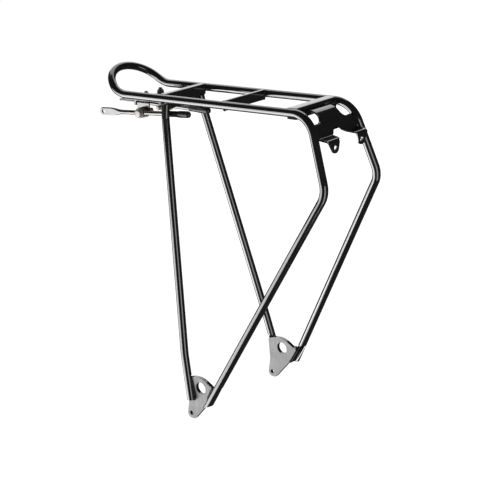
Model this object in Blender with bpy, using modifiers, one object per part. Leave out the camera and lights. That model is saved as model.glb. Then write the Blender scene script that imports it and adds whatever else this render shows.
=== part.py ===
"""Rear rack for a bicycle: one bent tube hoop, two front struts, cross-bars, plates and adjustable stays.

Frame: origin midway between the two eyelet holes of the dropout plates, +X towards the tail of the
bicycle, +Y to the bicycle's right, +Z up. Units are metres.
"""
import math

import bmesh
import bpy
from mathutils import Matrix, Vector

OBJECT_NAME = "rear_rack"
GAP = 0.0003                      # clearance kept between touching pieces
PAST = 0.002                      # how far a cutter reaches past the faces it cuts
OVERLAP = 0.001                   # how deep joined shapes of one piece reach into each other

# Tubes
TUBE_RADIUS = 0.005
TUBE_WALL = 0.0012
TUBE_BEVEL = 4                    # bevel resolution of a frame tube: twelve sides
RAIL_Y = 0.040
RAIL_Z = 0.3925

# Rear legs, one side: lower end, knee and upper corner of the hoop's centre line
LEG_END = (0.0307, 0.0872, 0.0143)
KNEE = (0.2063, 0.0510, 0.3055)
UPPER_CORNER = (0.1798, RAIL_Y, RAIL_Z)
KNEE_RADIUS = 0.026
UPPER_RADIUS = 0.032

# Front loop: the rails' ends close in a half circle, which is bent upwards as a whole
LOOP_BEND_X = -0.1129
LOOP_BEND_RADIUS = 0.036
LOOP_TILT = math.radians(39)
LOOP_STRAIGHT = 0.0137

# Front struts, one side
STRUT_END = (0.0044, 0.0861, 0.0204)
STRUT_LOW_BEND = (-0.0068, 0.0802, 0.0780)
STRUT_HIGH_BEND = (-0.0525, 0.0348, 0.3670)
STRUT_LOW_RADIUS = 0.150
STRUT_HIGH_RADIUS = 0.030
STRUT_TOP_Y = 0.0310
STRUT_EXTRA = 0.003               # length above the level at which the struts are cut off

# Cross-bars: centre x, width along x and height; all share the rails' top level
BAR_TOP = RAIL_Z + TUBE_RADIUS
FRONT_BAR_X = -0.0532
FRONT_BAR_SIZE = (0.010, 0.0130)
MIDDLE_BAR_X = 0.0483
MIDDLE_BAR_SIZE = (0.005, 0.0125)
REAR_BAR_X = 0.1518
REAR_BAR_SIZE = (0.016, 0.0130)
BAR_WALL = 0.0015
BAR_HALF_LENGTH = 0.0366

STRUT_TOP = BAR_TOP - FRONT_BAR_SIZE[1] - GAP     # the struts are cut level below the front cross-bar

# Dropout plates: an outline in x and z about the eyelet, each point with its corner radius
DROPOUT_Y = 0.0803
DROPOUT_THICKNESS = 0.005
DROPOUT_OUTLINE = (
    (-0.0082, -0.0072, 0.0064),
    (0.0052, -0.0068, 0.0052),
    (0.0293, 0.0188, 0.0030),
    (0.0438, 0.0405, 0.0020),
    (0.0388, 0.0422, 0.0030),
    (0.0188, 0.0540, 0.0300),
    (-0.0037, 0.0480, 0.0020),
    (-0.0026, 0.0190, 0.0300),
)
EYELET_RADIUS = 0.0030
LIGHTENING_HOLE = (0.0191, 0.0377)
LIGHTENING_RADIUS = 0.0079
SEAT_TOP_STRUT = 0.0518           # the tubes are milled flat below these levels, to seat on the plate
SEAT_TOP_LEG = 0.0470
SEAT_SPLIT_X = 0.0208
SEAT_INNER_Y = 0.070
SEAT_BOTTOM = -0.005
SEAT_FRONT = -0.020
SEAT_REAR = 0.070
LEG_CUT_LOW = (0.0088, 0.0097)    # the legs' slanted lower ends follow the line through these points
LEG_CUT_HIGH = (0.0688, 0.0307)

# Lamp bracket: a bent sheet between the rear legs
LAMP_SHEET = 0.0025
LAMP_PROFILE = (
    (0.16145, 0.3913, 0.0),
    (0.1723, 0.3905, 0.0170),
    (0.1820, 0.3780, 0.0250),
    (0.1888, 0.3637, 0.0035),
    (0.2026, 0.3622, 0.0030),
    (0.2026, 0.3420, 0.0),
)
LAMP_HOLE_Y = 0.025
LAMP_HOLE_Z = 0.354
LAMP_HOLE_RADIUS = 0.00275
EAR_INNER = 0.0168
EAR_OUTER = 0.0370
EAR_OUTER_Z = 0.3612              # where the flange's side turns into the slanted edge of the ear
EAR_TIP_RADIUS = 0.0066

# Plates below the front cross-bar
SHEET = 0.003
STAY_PLATE_TOP = 0.3842
STAY_PLATE_HALF_WIDTH = 0.0205
STAY_PLATE_FRONT = -0.1197
STAY_PLATE_LIP = 0.3745
BRIDGE_BOTTOM = 0.3770
BRIDGE_HALF_WIDTH = 0.0258

# Stay clamps, one side: the swivel bolt's and the clamp bolt's axes cross below the stay plate
CLAMP_X = -0.1052
CLAMP_Z = 0.3670
SWIVEL_Y = 0.013
ANGLE_SHEET = 0.0022
ANGLE_HALF_WIDTH = 0.0105
ANGLE_OUTER_Y = 0.0205
ANGLE_TIP_Z = 0.370

# M5 swivel bolts: button head below the angle, washer and locknut on top of the stay plate
SWIVEL_RADIUS = 0.0025
SWIVEL_HOLE_RADIUS = 0.0029
SWIVEL_HEAD_RADIUS = 0.00475
SWIVEL_HEAD_HEIGHT = 0.00275
SWIVEL_END = 0.0021               # how far the bolt stands out of its nut
SWIVEL_WASHER_RADIUS = 0.005
SWIVEL_WASHER_THICKNESS = 0.001
LOCKNUT_ACROSS_FLATS = 0.008
LOCKNUT_HEX_HEIGHT = 0.0036
LOCKNUT_HEIGHT = 0.005
LOCKNUT_COLLAR_RADIUS = 0.0036

# M6 clamp bolts: a thick cross-drilled neck inside a sleeve, washer and nut inside the angle
BOLT_RADIUS = 0.003
BOLT_HOLE_RADIUS = 0.0034
BOLT_INNER_Y = 0.0045
NUT_ACROSS_FLATS = 0.010
NUT_HEIGHT = 0.005
WASHER_RADIUS = 0.006
WASHER_THICKNESS = 0.0012
SLEEVE_RADIUS = 0.0068
SLEEVE_BORE = 0.0053
SLEEVE_OUTER_Y = 0.0289
NECK_RADIUS = 0.0050
NECK_RECESS = 0.0008              # the neck ends this far inside the sleeve's inner face
CLAMP_HEAD_RADIUS = 0.0055
CLAMP_HEAD_HEIGHT = 0.0030

# Stay rods
ROD_Y = 0.0248
ROD_RADIUS = 0.003
ROD_LENGTH = 0.158
ROD_FLAT_LENGTH = 0.0195
ROD_TAPER_LENGTH = 0.0230
ROD_FLAT_HALF_HEIGHT = 0.0053
ROD_FLAT_HALF_THICKNESS = 0.0013
ROD_HOLE_RADIUS = 0.00265
ROD_HOLE_FROM_TIP = 0.0062
CAP_LENGTH = 0.034
CAP_NECK_RADIUS = 0.0038
CAP_RADIUS = 0.0043
CAP_WALL_END = 0.0025

# Each side: name, sign of y, tip of the rod ahead of its clamp, pitch of the rod (rear end up)
SIDES = (
    ("left", -1, 0.0750, math.radians(3.3)),
    ("right", 1, 0.0875, math.radians(-0.9)),
)

# Turn of each rod about its own axis, which stands its flat end up or lays it level
ROD_TURN = {"left": 0.0, "right": math.radians(90)}


# ---------------------------------------------------------------- scene, materials and collections

def clear_scene():
    for item in list(bpy.data.objects):
        bpy.data.objects.remove(item, do_unlink=True)


def make_collection(name):
    collection = bpy.data.collections.new(name)
    bpy.context.scene.collection.children.link(collection)
    return collection


def make_material(name, color, roughness, metallic):
    material = bpy.data.materials.new(name)
    material.use_nodes = True
    shader = material.node_tree.nodes["Principled BSDF"]
    shader.inputs["Base Color"].default_value = (*color, 1.0)
    shader.inputs["Roughness"].default_value = roughness
    shader.inputs["Metallic"].default_value = metallic
    material.diffuse_color = (*color, 1.0)
    return material


clear_scene()
PARTS = make_collection(OBJECT_NAME)
CUTTERS = make_collection("cutters")
BLACK_PAINT = make_material("black_paint", (0.012, 0.012, 0.013), 0.25, 0.0)
PLATE_STEEL = make_material("plate_steel", (0.55, 0.55, 0.56), 0.38, 1.0)
STAINLESS = make_material("stainless", (0.68, 0.68, 0.67), 0.22, 1.0)
ZINC = make_material("zinc", (0.62, 0.59, 0.54), 0.28, 1.0)
RUBBER = make_material("rubber", (0.015, 0.015, 0.015), 0.6, 0.0)


# ------------------------------------------------------------------------------ geometry helpers

def mirrored(point, sign):
    return Vector((point[0], sign * point[1], point[2]))


def arc_points(center, radius, start, end, steps):
    """Points of a flat arc, angles in radians."""
    points = []
    for i in range(steps + 1):
        angle = start + (end - start) * i / steps
        points.append((center[0] + radius * math.cos(angle), center[1] + radius * math.sin(angle)))
    return points


def round_corner(before, corner, after, radius, step=math.radians(9)):
    """The points of an arc that replaces a corner, in a plane or in space."""
    to_before = (before - corner).normalized()
    to_after = (after - corner).normalized()
    turn = math.pi - to_before.angle(to_after)
    if radius <= 0 or turn < 1e-4:
        return [corner.copy()]
    reach = radius * math.tan(turn / 2)
    center = corner + (to_before + to_after).normalized() * (radius / math.cos(turn / 2))
    first = corner + to_before * reach - center
    last = corner + to_after * reach - center
    steps = max(2, math.ceil(turn / step))
    points = []
    for i in range(steps + 1):
        share = i / steps
        weight_a = math.sin((1 - share) * turn) / math.sin(turn)
        weight_b = math.sin(share * turn) / math.sin(turn)
        points.append(center + first * weight_a + last * weight_b)
    return points


def rounded_path(corners, radii):
    """An open path whose inner corners are arcs."""
    points = [corners[0].copy()]
    for i in range(1, len(corners) - 1):
        points += round_corner(corners[i - 1], corners[i], corners[i + 1], radii[i])
    points.append(corners[-1].copy())
    return points


def rounded_outline(corners):
    """A closed flat outline from (u, v, corner radius) triples."""
    flat = [Vector((u, v, 0)) for u, v, _ in corners]
    points = []
    for i, (_, _, radius) in enumerate(corners):
        arc = round_corner(flat[i - 1], flat[i], flat[(i + 1) % len(flat)], radius, math.radians(15))
        points += [(p.x, p.y) for p in arc]
    return points


def sheet_outline(corners, thickness):
    """The closed outline of a bent sheet from its centre line of (u, v, bend radius) triples."""
    flat = [Vector((u, v, 0)) for u, v, _ in corners]
    line = rounded_path(flat, [radius for _, _, radius in corners])
    upper = []
    lower = []
    for i, point in enumerate(line):
        along = line[min(i + 1, len(line) - 1)] - line[max(i - 1, 0)]
        normal = Vector((-along.y, along.x, 0)).normalized()
        upper.append(point + normal * thickness / 2)
        lower.append(point - normal * thickness / 2)
    return [(p.x, p.y) for p in upper + lower[::-1]]


def circle_outline(center, radius, steps=24):
    return arc_points(center, radius, 0, 2 * math.pi * (steps - 1) / steps, steps - 1)


def mesh_from_curve(name, curve, weld=True):
    """Turn a curve into mesh data and drop the curve."""
    source = bpy.data.objects.new(name + "_curve", curve)
    bpy.context.scene.collection.objects.link(source)
    bpy.context.view_layer.update()
    graph = bpy.context.evaluated_depsgraph_get()
    mesh = bpy.data.meshes.new_from_object(source.evaluated_get(graph))
    bpy.data.objects.remove(source, do_unlink=True)
    bpy.data.curves.remove(curve)
    mesh.name = name
    if weld:
        edit = bmesh.new()
        edit.from_mesh(mesh)
        bmesh.ops.remove_doubles(edit, verts=edit.verts, dist=1e-6)
        bmesh.ops.recalc_face_normals(edit, faces=edit.faces)
        edit.to_mesh(mesh)
        edit.free()
    return mesh


def add_object(name, mesh, material, smooth=True, parent=None):
    part = bpy.data.objects.new(name, mesh)
    PARTS.objects.link(part)
    part.parent = parent
    part.data.materials.clear()
    part.data.materials.append(material)
    if smooth:
        mesh.shade_smooth()
        mesh.set_sharp_from_angle(angle=math.radians(35))
    return part


def add_cutter(name, mesh, parent=None):
    cutter = bpy.data.objects.new(name, mesh)
    CUTTERS.objects.link(cutter)
    cutter.parent = parent
    cutter.hide_render = True
    cutter.display_type = "WIRE"
    return cutter


def add_boolean(part, tool, operation="DIFFERENCE"):
    modifier = part.modifiers.new(tool.name, "BOOLEAN")
    modifier.operation = operation
    modifier.solver = "EXACT"
    modifier.object = tool


def tube_mesh(name, points, radius, bevel_resolution, caps=True):
    curve = bpy.data.curves.new(name, "CURVE")
    curve.dimensions = "3D"
    curve.bevel_depth = radius
    curve.bevel_resolution = bevel_resolution
    curve.use_fill_caps = caps
    spline = curve.splines.new("POLY")
    spline.points.add(len(points) - 1)
    for target, point in zip(spline.points, points):
        target.co = (*point, 1.0)
    return mesh_from_curve(name, curve)


def flat_mesh(name, outlines, low, high, plane):
    """Extrude closed outlines across a plane, from one level to another.

    plane is XZ (levels along y), YZ (levels along x) or XY (levels along z).
    """
    curve = bpy.data.curves.new(name, "CURVE")
    curve.dimensions = "2D"
    curve.fill_mode = "BOTH"
    curve.extrude = (high - low) / 2
    for outline in outlines:
        spline = curve.splines.new("POLY")
        spline.points.add(len(outline) - 1)
        for target, point in zip(spline.points, outline):
            target.co = (point[0], point[1], 0, 1.0)
        spline.use_cyclic_u = True
    mesh = mesh_from_curve(name, curve)
    middle = (low + high) / 2
    frames = {
        "XZ": Matrix(((1, 0, 0, 0), (0, 0, -1, middle), (0, 1, 0, 0), (0, 0, 0, 1))),
        "YZ": Matrix(((0, 0, 1, middle), (1, 0, 0, 0), (0, 1, 0, 0), (0, 0, 0, 1))),
        "XY": Matrix(((1, 0, 0, 0), (0, 1, 0, 0), (0, 0, 1, middle), (0, 0, 0, 1))),
    }
    mesh.transform(frames[plane])
    return mesh


def cylinder_mesh(name, radius, low, high, axis, center, segments=32, turn=0.0):
    """A cylinder or prism along x, y or z, between two levels on that axis."""
    mesh = bpy.data.meshes.new(name)
    edit = bmesh.new()
    bmesh.ops.create_cone(edit, cap_ends=True, segments=segments, radius1=radius, radius2=radius,
                          depth=abs(high - low))
    edit.to_mesh(mesh)
    edit.free()
    spin = Matrix.Rotation(turn, 4, "Z")
    turns = {
        "x": Matrix.Rotation(math.pi / 2, 4, "Y"),
        "y": Matrix.Rotation(math.pi / 2, 4, "X"),
        "z": Matrix.Identity(4),
    }
    place = Vector(center)
    place["xyz".index(axis)] = (low + high) / 2
    mesh.transform(Matrix.Translation(place) @ turns[axis] @ spin)
    return mesh


def box_mesh(name, low, high):
    mesh = bpy.data.meshes.new(name)
    edit = bmesh.new()
    bmesh.ops.create_cube(edit, size=1.0)
    edit.to_mesh(mesh)
    edit.free()
    low = Vector(low)
    high = Vector(high)
    size = Matrix.Diagonal((*(high - low), 1.0))
    mesh.transform(Matrix.Translation((low + high) / 2) @ size)
    return mesh


def hex_mesh(name, across_flats, low, high, axis, center):
    """A hexagonal prism, turned so that a pair of corners lies along x."""
    radius = across_flats / 2 / math.cos(math.pi / 6)
    return cylinder_mesh(name, radius, low, high, axis, center, 6, math.pi / 6)


def soften(part, width):
    """Round the sharp rims of a fastener before other shapes are joined to it."""
    rim = part.modifiers.new("rims", "BEVEL")
    rim.width = width
    rim.segments = 2
    rim.limit_method = "ANGLE"
    rim.angle_limit = math.radians(60)


# --------------------------------------------------------------------------------- frame tubes

def loop_point(s, y):
    """A point of the front loop: s runs forward along the bent-up rails from the bend's start."""
    bend_length = LOOP_BEND_RADIUS * LOOP_TILT
    turned = min(max(s, 0.0), bend_length) / LOOP_BEND_RADIUS
    beyond = max(s - bend_length, 0.0)
    x = LOOP_BEND_X - LOOP_BEND_RADIUS * math.sin(turned) - beyond * math.cos(LOOP_TILT)
    z = RAIL_Z + LOOP_BEND_RADIUS * (1 - math.cos(turned)) + beyond * math.sin(LOOP_TILT)
    return Vector((x, y, z))


def hoop_path():
    """The hoop's centre line from the left leg's lower end to the right leg's."""
    radii = (0, KNEE_RADIUS, UPPER_RADIUS, 0)
    half = {}
    for sign in (-1, 1):
        rail_front = loop_point(0, RAIL_Y)
        corners = [mirrored(p, sign) for p in (LEG_END, KNEE, UPPER_CORNER, rail_front)]
        half[sign] = rounded_path(corners, radii)
    loop = [loop_point(LOOP_STRAIGHT / 2, -RAIL_Y)]
    steps = 22
    for i in range(steps + 1):
        angle = math.pi * i / steps
        loop.append(loop_point(LOOP_STRAIGHT + RAIL_Y * math.sin(angle), -RAIL_Y * math.cos(angle)))
    loop.append(loop_point(LOOP_STRAIGHT / 2, RAIL_Y))
    return half[-1] + loop + half[1][::-1]


def strut_path(sign):
    top = (FRONT_BAR_X, STRUT_TOP_Y, STRUT_TOP + STRUT_EXTRA)
    corners = [mirrored(p, sign) for p in (STRUT_END, STRUT_LOW_BEND, STRUT_HIGH_BEND, top)]
    return rounded_path(corners, (0, STRUT_LOW_RADIUS, STRUT_HIGH_RADIUS, 0))


def make_frame_tube(name, points):
    """A hollow tube, open at both ends."""
    tube = add_object(name, tube_mesh(name, points, TUBE_RADIUS, TUBE_BEVEL, caps=False), BLACK_PAINT)
    shell = tube.modifiers.new("wall", "SOLIDIFY")
    shell.thickness = TUBE_WALL
    shell.offset = -1.0
    return tube


def seat_cutter(name, sign, top, x_low, x_high):
    """The flat milled into a tube's lower end, where the dropout plate is welded in."""
    outer = sign * (DROPOUT_Y + DROPOUT_THICKNESS / 2 + GAP)
    inner = sign * SEAT_INNER_Y
    low = (x_low, min(inner, outer), SEAT_BOTTOM)
    high = (x_high, max(inner, outer), top)
    return add_cutter(name, box_mesh(name, low, high))


def leg_end_cutter():
    """Everything below the slanted line on which both legs end."""
    bottom = -0.020
    half_width = 0.110
    outline = [LEG_CUT_LOW, LEG_CUT_HIGH, (LEG_CUT_HIGH[0], bottom), (LEG_CUT_LOW[0], bottom)]
    return add_cutter("leg_ends", flat_mesh("leg_ends", [outline], -half_width, half_width, "XZ"))


def make_tubes():
    hoop = make_frame_tube("main_hoop", hoop_path())
    add_boolean(hoop, leg_end_cutter())
    low = (FRONT_BAR_X - 0.02, -0.06, STRUT_TOP)
    high = (FRONT_BAR_X + 0.02, 0.06, BAR_TOP)
    level_cut = add_cutter("strut_level", box_mesh("strut_level", low, high))
    for side, sign, _, _ in SIDES:
        strut = make_frame_tube(side + "_strut", strut_path(sign))
        add_boolean(strut, level_cut)
        add_boolean(strut, seat_cutter(side + "_strut_seat", sign, SEAT_TOP_STRUT, SEAT_FRONT, SEAT_SPLIT_X))
        add_boolean(hoop, seat_cutter(side + "_leg_seat", sign, SEAT_TOP_LEG, SEAT_SPLIT_X, SEAT_REAR))


# ---------------------------------------------------------------------------------- cross-bars

def make_crossbar(name, x, size, rails, hollow):
    """A bar between the rails, coped at both ends to fit the round tubes."""
    width, height = size
    low = BAR_TOP - height
    corner = min(width, height) * 0.22
    outline = rounded_outline((
        (x - width / 2, low, corner), (x + width / 2, low, corner),
        (x + width / 2, BAR_TOP, corner), (x - width / 2, BAR_TOP, corner),
    ))
    bar_mesh = flat_mesh(name, [outline], -BAR_HALF_LENGTH, BAR_HALF_LENGTH, "XZ")
    bar = add_object(name, bar_mesh, BLACK_PAINT)
    add_boolean(bar, rails)
    if hollow:
        bore = box_mesh(name + "_bore", (x - width / 2 + BAR_WALL, -RAIL_Y - 0.01, low + BAR_WALL),
                        (x + width / 2 - BAR_WALL, RAIL_Y + 0.01, BAR_TOP - BAR_WALL))
        add_boolean(bar, add_cutter(name + "_bore", bore))


def make_crossbars():
    points = hoop_path()
    clearance = tube_mesh("hoop_clearance", points, TUBE_RADIUS + GAP, TUBE_BEVEL)
    rails = add_cutter("hoop_clearance", clearance)
    make_crossbar("front_crossbar", FRONT_BAR_X, FRONT_BAR_SIZE, rails, True)
    make_crossbar("middle_crossbar", MIDDLE_BAR_X, MIDDLE_BAR_SIZE, rails, False)
    make_crossbar("rear_crossbar", REAR_BAR_X, REAR_BAR_SIZE, rails, True)
    return rails


# -------------------------------------------------------------------------------------- plates

def make_dropouts():
    outline = rounded_outline(DROPOUT_OUTLINE)
    eyelet = circle_outline((0, 0), EYELET_RADIUS)
    opening = circle_outline(LIGHTENING_HOLE, LIGHTENING_RADIUS, 32)
    for side, sign, _, _ in SIDES:
        name = side + "_dropout"
        middle = sign * DROPOUT_Y
        mesh = flat_mesh(name, [outline, eyelet, opening], middle - DROPOUT_THICKNESS / 2,
                         middle + DROPOUT_THICKNESS / 2, "XZ")
        add_object(name, mesh, PLATE_STEEL)


def lamp_trim_outline():
    """Below the bracket: the outside of both ears and the notch between them."""
    edge = 0.060
    bottom = 0.330
    slope = math.radians(-31)
    half = [(edge, bottom), (edge, 0.3685), (EAR_OUTER, 0.3685), (EAR_OUTER, EAR_OUTER_Z)]
    half += arc_points((LAMP_HOLE_Y, LAMP_HOLE_Z), EAR_TIP_RADIUS, slope, -math.pi + 0.35, 12)
    half += [(EAR_INNER, 0.3590), (EAR_INNER, 0.3618)]
    half += arc_points((0, 0.3625), 0.0090, math.radians(25), math.pi / 2, 6)
    return half + [(-y, z) for y, z in half[-2::-1]]


def make_lamp_bracket(rails):
    outline = sheet_outline(LAMP_PROFILE, LAMP_SHEET)
    mesh = flat_mesh("lamp_bracket", [outline], -0.042, 0.042, "XZ")
    bracket = add_object("lamp_bracket", mesh, BLACK_PAINT)
    add_boolean(bracket, rails)
    for side, sign, _, _ in SIDES:
        scoop = rounded_outline((
            (sign * 0.0195, 0.3795, 0.0080), (sign * 0.0600, 0.3795, 0.0),
            (sign * 0.0600, 0.4050, 0.0), (sign * 0.0165, 0.4050, 0.0),
        ))
        scoop_mesh = flat_mesh(side + "_scoop", [scoop], 0.150, 0.195, "YZ")
        add_boolean(bracket, add_cutter(side + "_scoop", scoop_mesh))
        hole = cylinder_mesh(side + "_lamp_hole", LAMP_HOLE_RADIUS, 0.195, 0.215, "x",
                             (0, sign * LAMP_HOLE_Y, LAMP_HOLE_Z), 24)
        add_boolean(bracket, add_cutter(side + "_lamp_hole", hole))
    trim = flat_mesh("lamp_trim", [lamp_trim_outline()], 0.180, 0.220, "YZ")
    add_boolean(bracket, add_cutter("lamp_trim", trim))


def make_bridge_plate():
    top = STRUT_TOP
    half = BRIDGE_HALF_WIDTH
    outline = rounded_outline((
        (-half, BRIDGE_BOTTOM, 0.003), (half, BRIDGE_BOTTOM, 0.003), (half, top, 0.0), (-half, top, 0.0),
    ))
    mesh = flat_mesh("bridge_plate", [outline], FRONT_BAR_X - SHEET / 2, FRONT_BAR_X + SHEET / 2, "YZ")
    add_object("bridge_plate", mesh, BLACK_PAINT)


def make_stay_plate():
    """The plate that reaches forward from the bridge, with its front edge bent down."""
    level = STAY_PLATE_TOP - SHEET / 2
    rear = FRONT_BAR_X - SHEET / 2 - GAP
    profile = (
        (rear, level, 0.0),
        (STAY_PLATE_FRONT, level, 0.005),
        (STAY_PLATE_FRONT, STAY_PLATE_LIP, 0.0),
    )
    half = STAY_PLATE_HALF_WIDTH
    mesh = flat_mesh("stay_plate", [sheet_outline(profile, SHEET)], -half, half, "XZ")
    plate = add_object("stay_plate", mesh, BLACK_PAINT)
    for side, sign, _, _ in SIDES:
        hole = cylinder_mesh(side + "_swivel_hole", SWIVEL_HOLE_RADIUS, STAY_PLATE_TOP - 0.02,
                             STAY_PLATE_TOP + 0.01, "z", (CLAMP_X, sign * SWIVEL_Y, 0), 24)
        add_boolean(plate, add_cutter(side + "_swivel_hole", hole))


# ------------------------------------------------------------------------- stay clamps and rods

def make_swivel_bolt(side, sign):
    """The bolt comes up through angle and stay plate, and takes a washer and a locknut on top."""
    center = (CLAMP_X, sign * SWIVEL_Y, 0)
    washer_low = STAY_PLATE_TOP + GAP
    washer_top = washer_low + SWIVEL_WASHER_THICKNESS
    nut_low = washer_top + GAP
    nut_top = nut_low + LOCKNUT_HEIGHT
    head_top = STAY_PLATE_TOP - SHEET - GAP - ANGLE_SHEET - GAP
    head_low = head_top - SWIVEL_HEAD_HEIGHT

    name = side + "_swivel_bolt"
    bolt = add_object(name, cylinder_mesh(name, SWIVEL_HEAD_RADIUS, head_low, head_top, "z", center), ZINC)
    soften(bolt, 0.0008)
    shank = cylinder_mesh(name + "_shank", SWIVEL_RADIUS, head_top - OVERLAP, nut_top + SWIVEL_END,
                          "z", center, 24)
    add_boolean(bolt, add_cutter(name + "_shank", shank), "UNION")

    name = side + "_swivel_washer"
    ring = [circle_outline(center, SWIVEL_WASHER_RADIUS, 32), circle_outline(center, SWIVEL_HOLE_RADIUS)]
    add_object(name, flat_mesh(name, ring, washer_low, washer_top, "XY"), ZINC)

    name = side + "_swivel_nut"
    hex_top = nut_low + LOCKNUT_HEX_HEIGHT
    hexagon = hex_mesh(name, LOCKNUT_ACROSS_FLATS, nut_low, hex_top, "z", center)
    nut = add_object(name, hexagon, ZINC)
    collar = cylinder_mesh(name + "_collar", LOCKNUT_COLLAR_RADIUS, hex_top - OVERLAP, nut_top,
                           "z", center, 24)
    add_boolean(nut, add_cutter(name + "_collar", collar), "UNION")
    bore = cylinder_mesh(name + "_bore", SWIVEL_HOLE_RADIUS, nut_low - PAST, nut_top + PAST,
                         "z", center, 24)
    add_boolean(nut, add_cutter(name + "_bore", bore))


def make_stay_angle(side, sign):
    """An angle of sheet: one leg turns on the swivel bolt, the other carries the clamp bolt."""
    name = side + "_stay_angle"
    top = STAY_PLATE_TOP - SHEET - GAP - ANGLE_SHEET / 2
    face = sign * (ANGLE_OUTER_Y - ANGLE_SHEET / 2)
    tip = ANGLE_TIP_Z - ANGLE_HALF_WIDTH
    inner_end = sign * (SWIVEL_Y - ANGLE_HALF_WIDTH)
    profile = ((inner_end, top, 0.0), (face, top, 0.0015), (face, tip, 0.0))
    mesh = flat_mesh(name, [sheet_outline(profile, ANGLE_SHEET)], CLAMP_X - ANGLE_HALF_WIDTH,
                     CLAMP_X + ANGLE_HALF_WIDTH, "YZ")
    angle = add_object(name, mesh, STAINLESS)

    reach = ANGLE_HALF_WIDTH + 0.004
    leg_end = [(CLAMP_X - reach, sign * (SWIVEL_Y - reach)), (CLAMP_X - reach, sign * SWIVEL_Y)]
    leg_end += [(x, sign * y) for x, y in
                arc_points((CLAMP_X, SWIVEL_Y), ANGLE_HALF_WIDTH, math.pi, 2 * math.pi, 18)]
    leg_end += [(CLAMP_X + reach, sign * SWIVEL_Y), (CLAMP_X + reach, sign * (SWIVEL_Y - reach))]
    end_mesh = flat_mesh(name + "_leg_end", [leg_end], top - 0.004, top + 0.004, "XY")
    add_boolean(angle, add_cutter(name + "_leg_end", end_mesh))

    tip_end = [(CLAMP_X - reach, ANGLE_TIP_Z - reach), (CLAMP_X - reach, ANGLE_TIP_Z)]
    tip_end += arc_points((CLAMP_X, ANGLE_TIP_Z), ANGLE_HALF_WIDTH, math.pi, 2 * math.pi, 18)
    tip_end += [(CLAMP_X + reach, ANGLE_TIP_Z), (CLAMP_X + reach, ANGLE_TIP_Z - reach)]
    levels = sorted((sign * 0.016, sign * 0.023))
    tip_mesh = flat_mesh(name + "_tip_end", [tip_end], levels[0], levels[1], "XZ")
    add_boolean(angle, add_cutter(name + "_tip_end", tip_mesh))

    swivel = cylinder_mesh(name + "_swivel_hole", SWIVEL_HOLE_RADIUS, top - 0.005, top + 0.005, "z",
                           (CLAMP_X, sign * SWIVEL_Y, 0), 24)
    add_boolean(angle, add_cutter(name + "_swivel_hole", swivel))
    clamp = cylinder_mesh(name + "_clamp_hole", BOLT_HOLE_RADIUS, sign * 0.015, sign * 0.024, "y",
                          (CLAMP_X, 0, CLAMP_Z), 24)
    add_boolean(angle, add_cutter(name + "_clamp_hole", clamp))


def make_clamp(side, sign, pitch):
    """The cross-drilled clamp bolt with its sleeve, washer and nut, turned to the rod's pitch.

    Built about the point where the clamp bolt's axis crosses the rod, then placed by an empty there.
    """
    pivot = bpy.data.objects.new(side + "_clamp_axis", None)
    PARTS.objects.link(pivot)
    pivot.location = (CLAMP_X, sign * ROD_Y, CLAMP_Z)
    pivot.rotation_euler = (0, -pitch, 0)
    rod_bore = cylinder_mesh(side + "_rod_hole", ROD_RADIUS + GAP, -0.012, 0.012, "x", (0, 0, 0), 24)
    rod_hole = add_cutter(side + "_rod_hole", rod_bore, pivot)

    def level(y):
        """Distance from the rod of a face at the given distance from the rack's middle plane."""
        return sign * (y - ROD_Y)

    sleeve_low = ANGLE_OUTER_Y + GAP
    name = side + "_clamp_sleeve"
    sleeve_mesh = cylinder_mesh(name, SLEEVE_RADIUS, level(sleeve_low), level(SLEEVE_OUTER_Y),
                                "y", (0, 0, 0))
    sleeve = add_object(name, sleeve_mesh, ZINC, parent=pivot)
    bore = cylinder_mesh(name + "_bore", SLEEVE_BORE, level(sleeve_low - PAST),
                         level(SLEEVE_OUTER_Y + PAST), "y", (0, 0, 0), 24)
    add_boolean(sleeve, add_cutter(name + "_bore", bore, pivot))
    add_boolean(sleeve, rod_hole)

    head_low = SLEEVE_OUTER_Y + GAP
    head_top = head_low + CLAMP_HEAD_HEIGHT
    name = side + "_clamp_bolt"
    head = cylinder_mesh(name, CLAMP_HEAD_RADIUS, level(head_low), level(head_top), "y", (0, 0, 0))
    bolt = add_object(name, head, ZINC, parent=pivot)
    soften(bolt, 0.0008)
    neck_low = sleeve_low + NECK_RECESS
    neck = cylinder_mesh(name + "_neck", NECK_RADIUS, level(neck_low), level(head_low + OVERLAP),
                         "y", (0, 0, 0), 24)
    add_boolean(bolt, add_cutter(name + "_neck", neck, pivot), "UNION")
    shank = cylinder_mesh(name + "_shank", BOLT_RADIUS, level(BOLT_INNER_Y), level(neck_low + 0.0002), "y",
                          (0, 0, 0), 20, math.radians(4))
    add_boolean(bolt, add_cutter(name + "_shank", shank, pivot), "UNION")
    add_boolean(bolt, rod_hole)

    washer_top = ANGLE_OUTER_Y - ANGLE_SHEET - GAP
    washer_low = washer_top - WASHER_THICKNESS
    nut_top = washer_low - GAP
    nut_low = nut_top - NUT_HEIGHT
    washer = cylinder_mesh(side + "_clamp_washer", WASHER_RADIUS, level(washer_low), level(washer_top), "y",
                           (0, 0, 0))
    nut = hex_mesh(side + "_clamp_nut", NUT_ACROSS_FLATS, level(nut_low), level(nut_top), "y", (0, 0, 0))
    bore = cylinder_mesh(side + "_clamp_bore", BOLT_HOLE_RADIUS, level(nut_low - PAST),
                         level(washer_top + PAST), "y", (0, 0, 0), 24)
    hole = add_cutter(side + "_clamp_bore", bore, pivot)
    for mesh in (washer, nut):
        add_boolean(add_object(mesh.name, mesh, ZINC, parent=pivot), hole)
    return pivot


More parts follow.
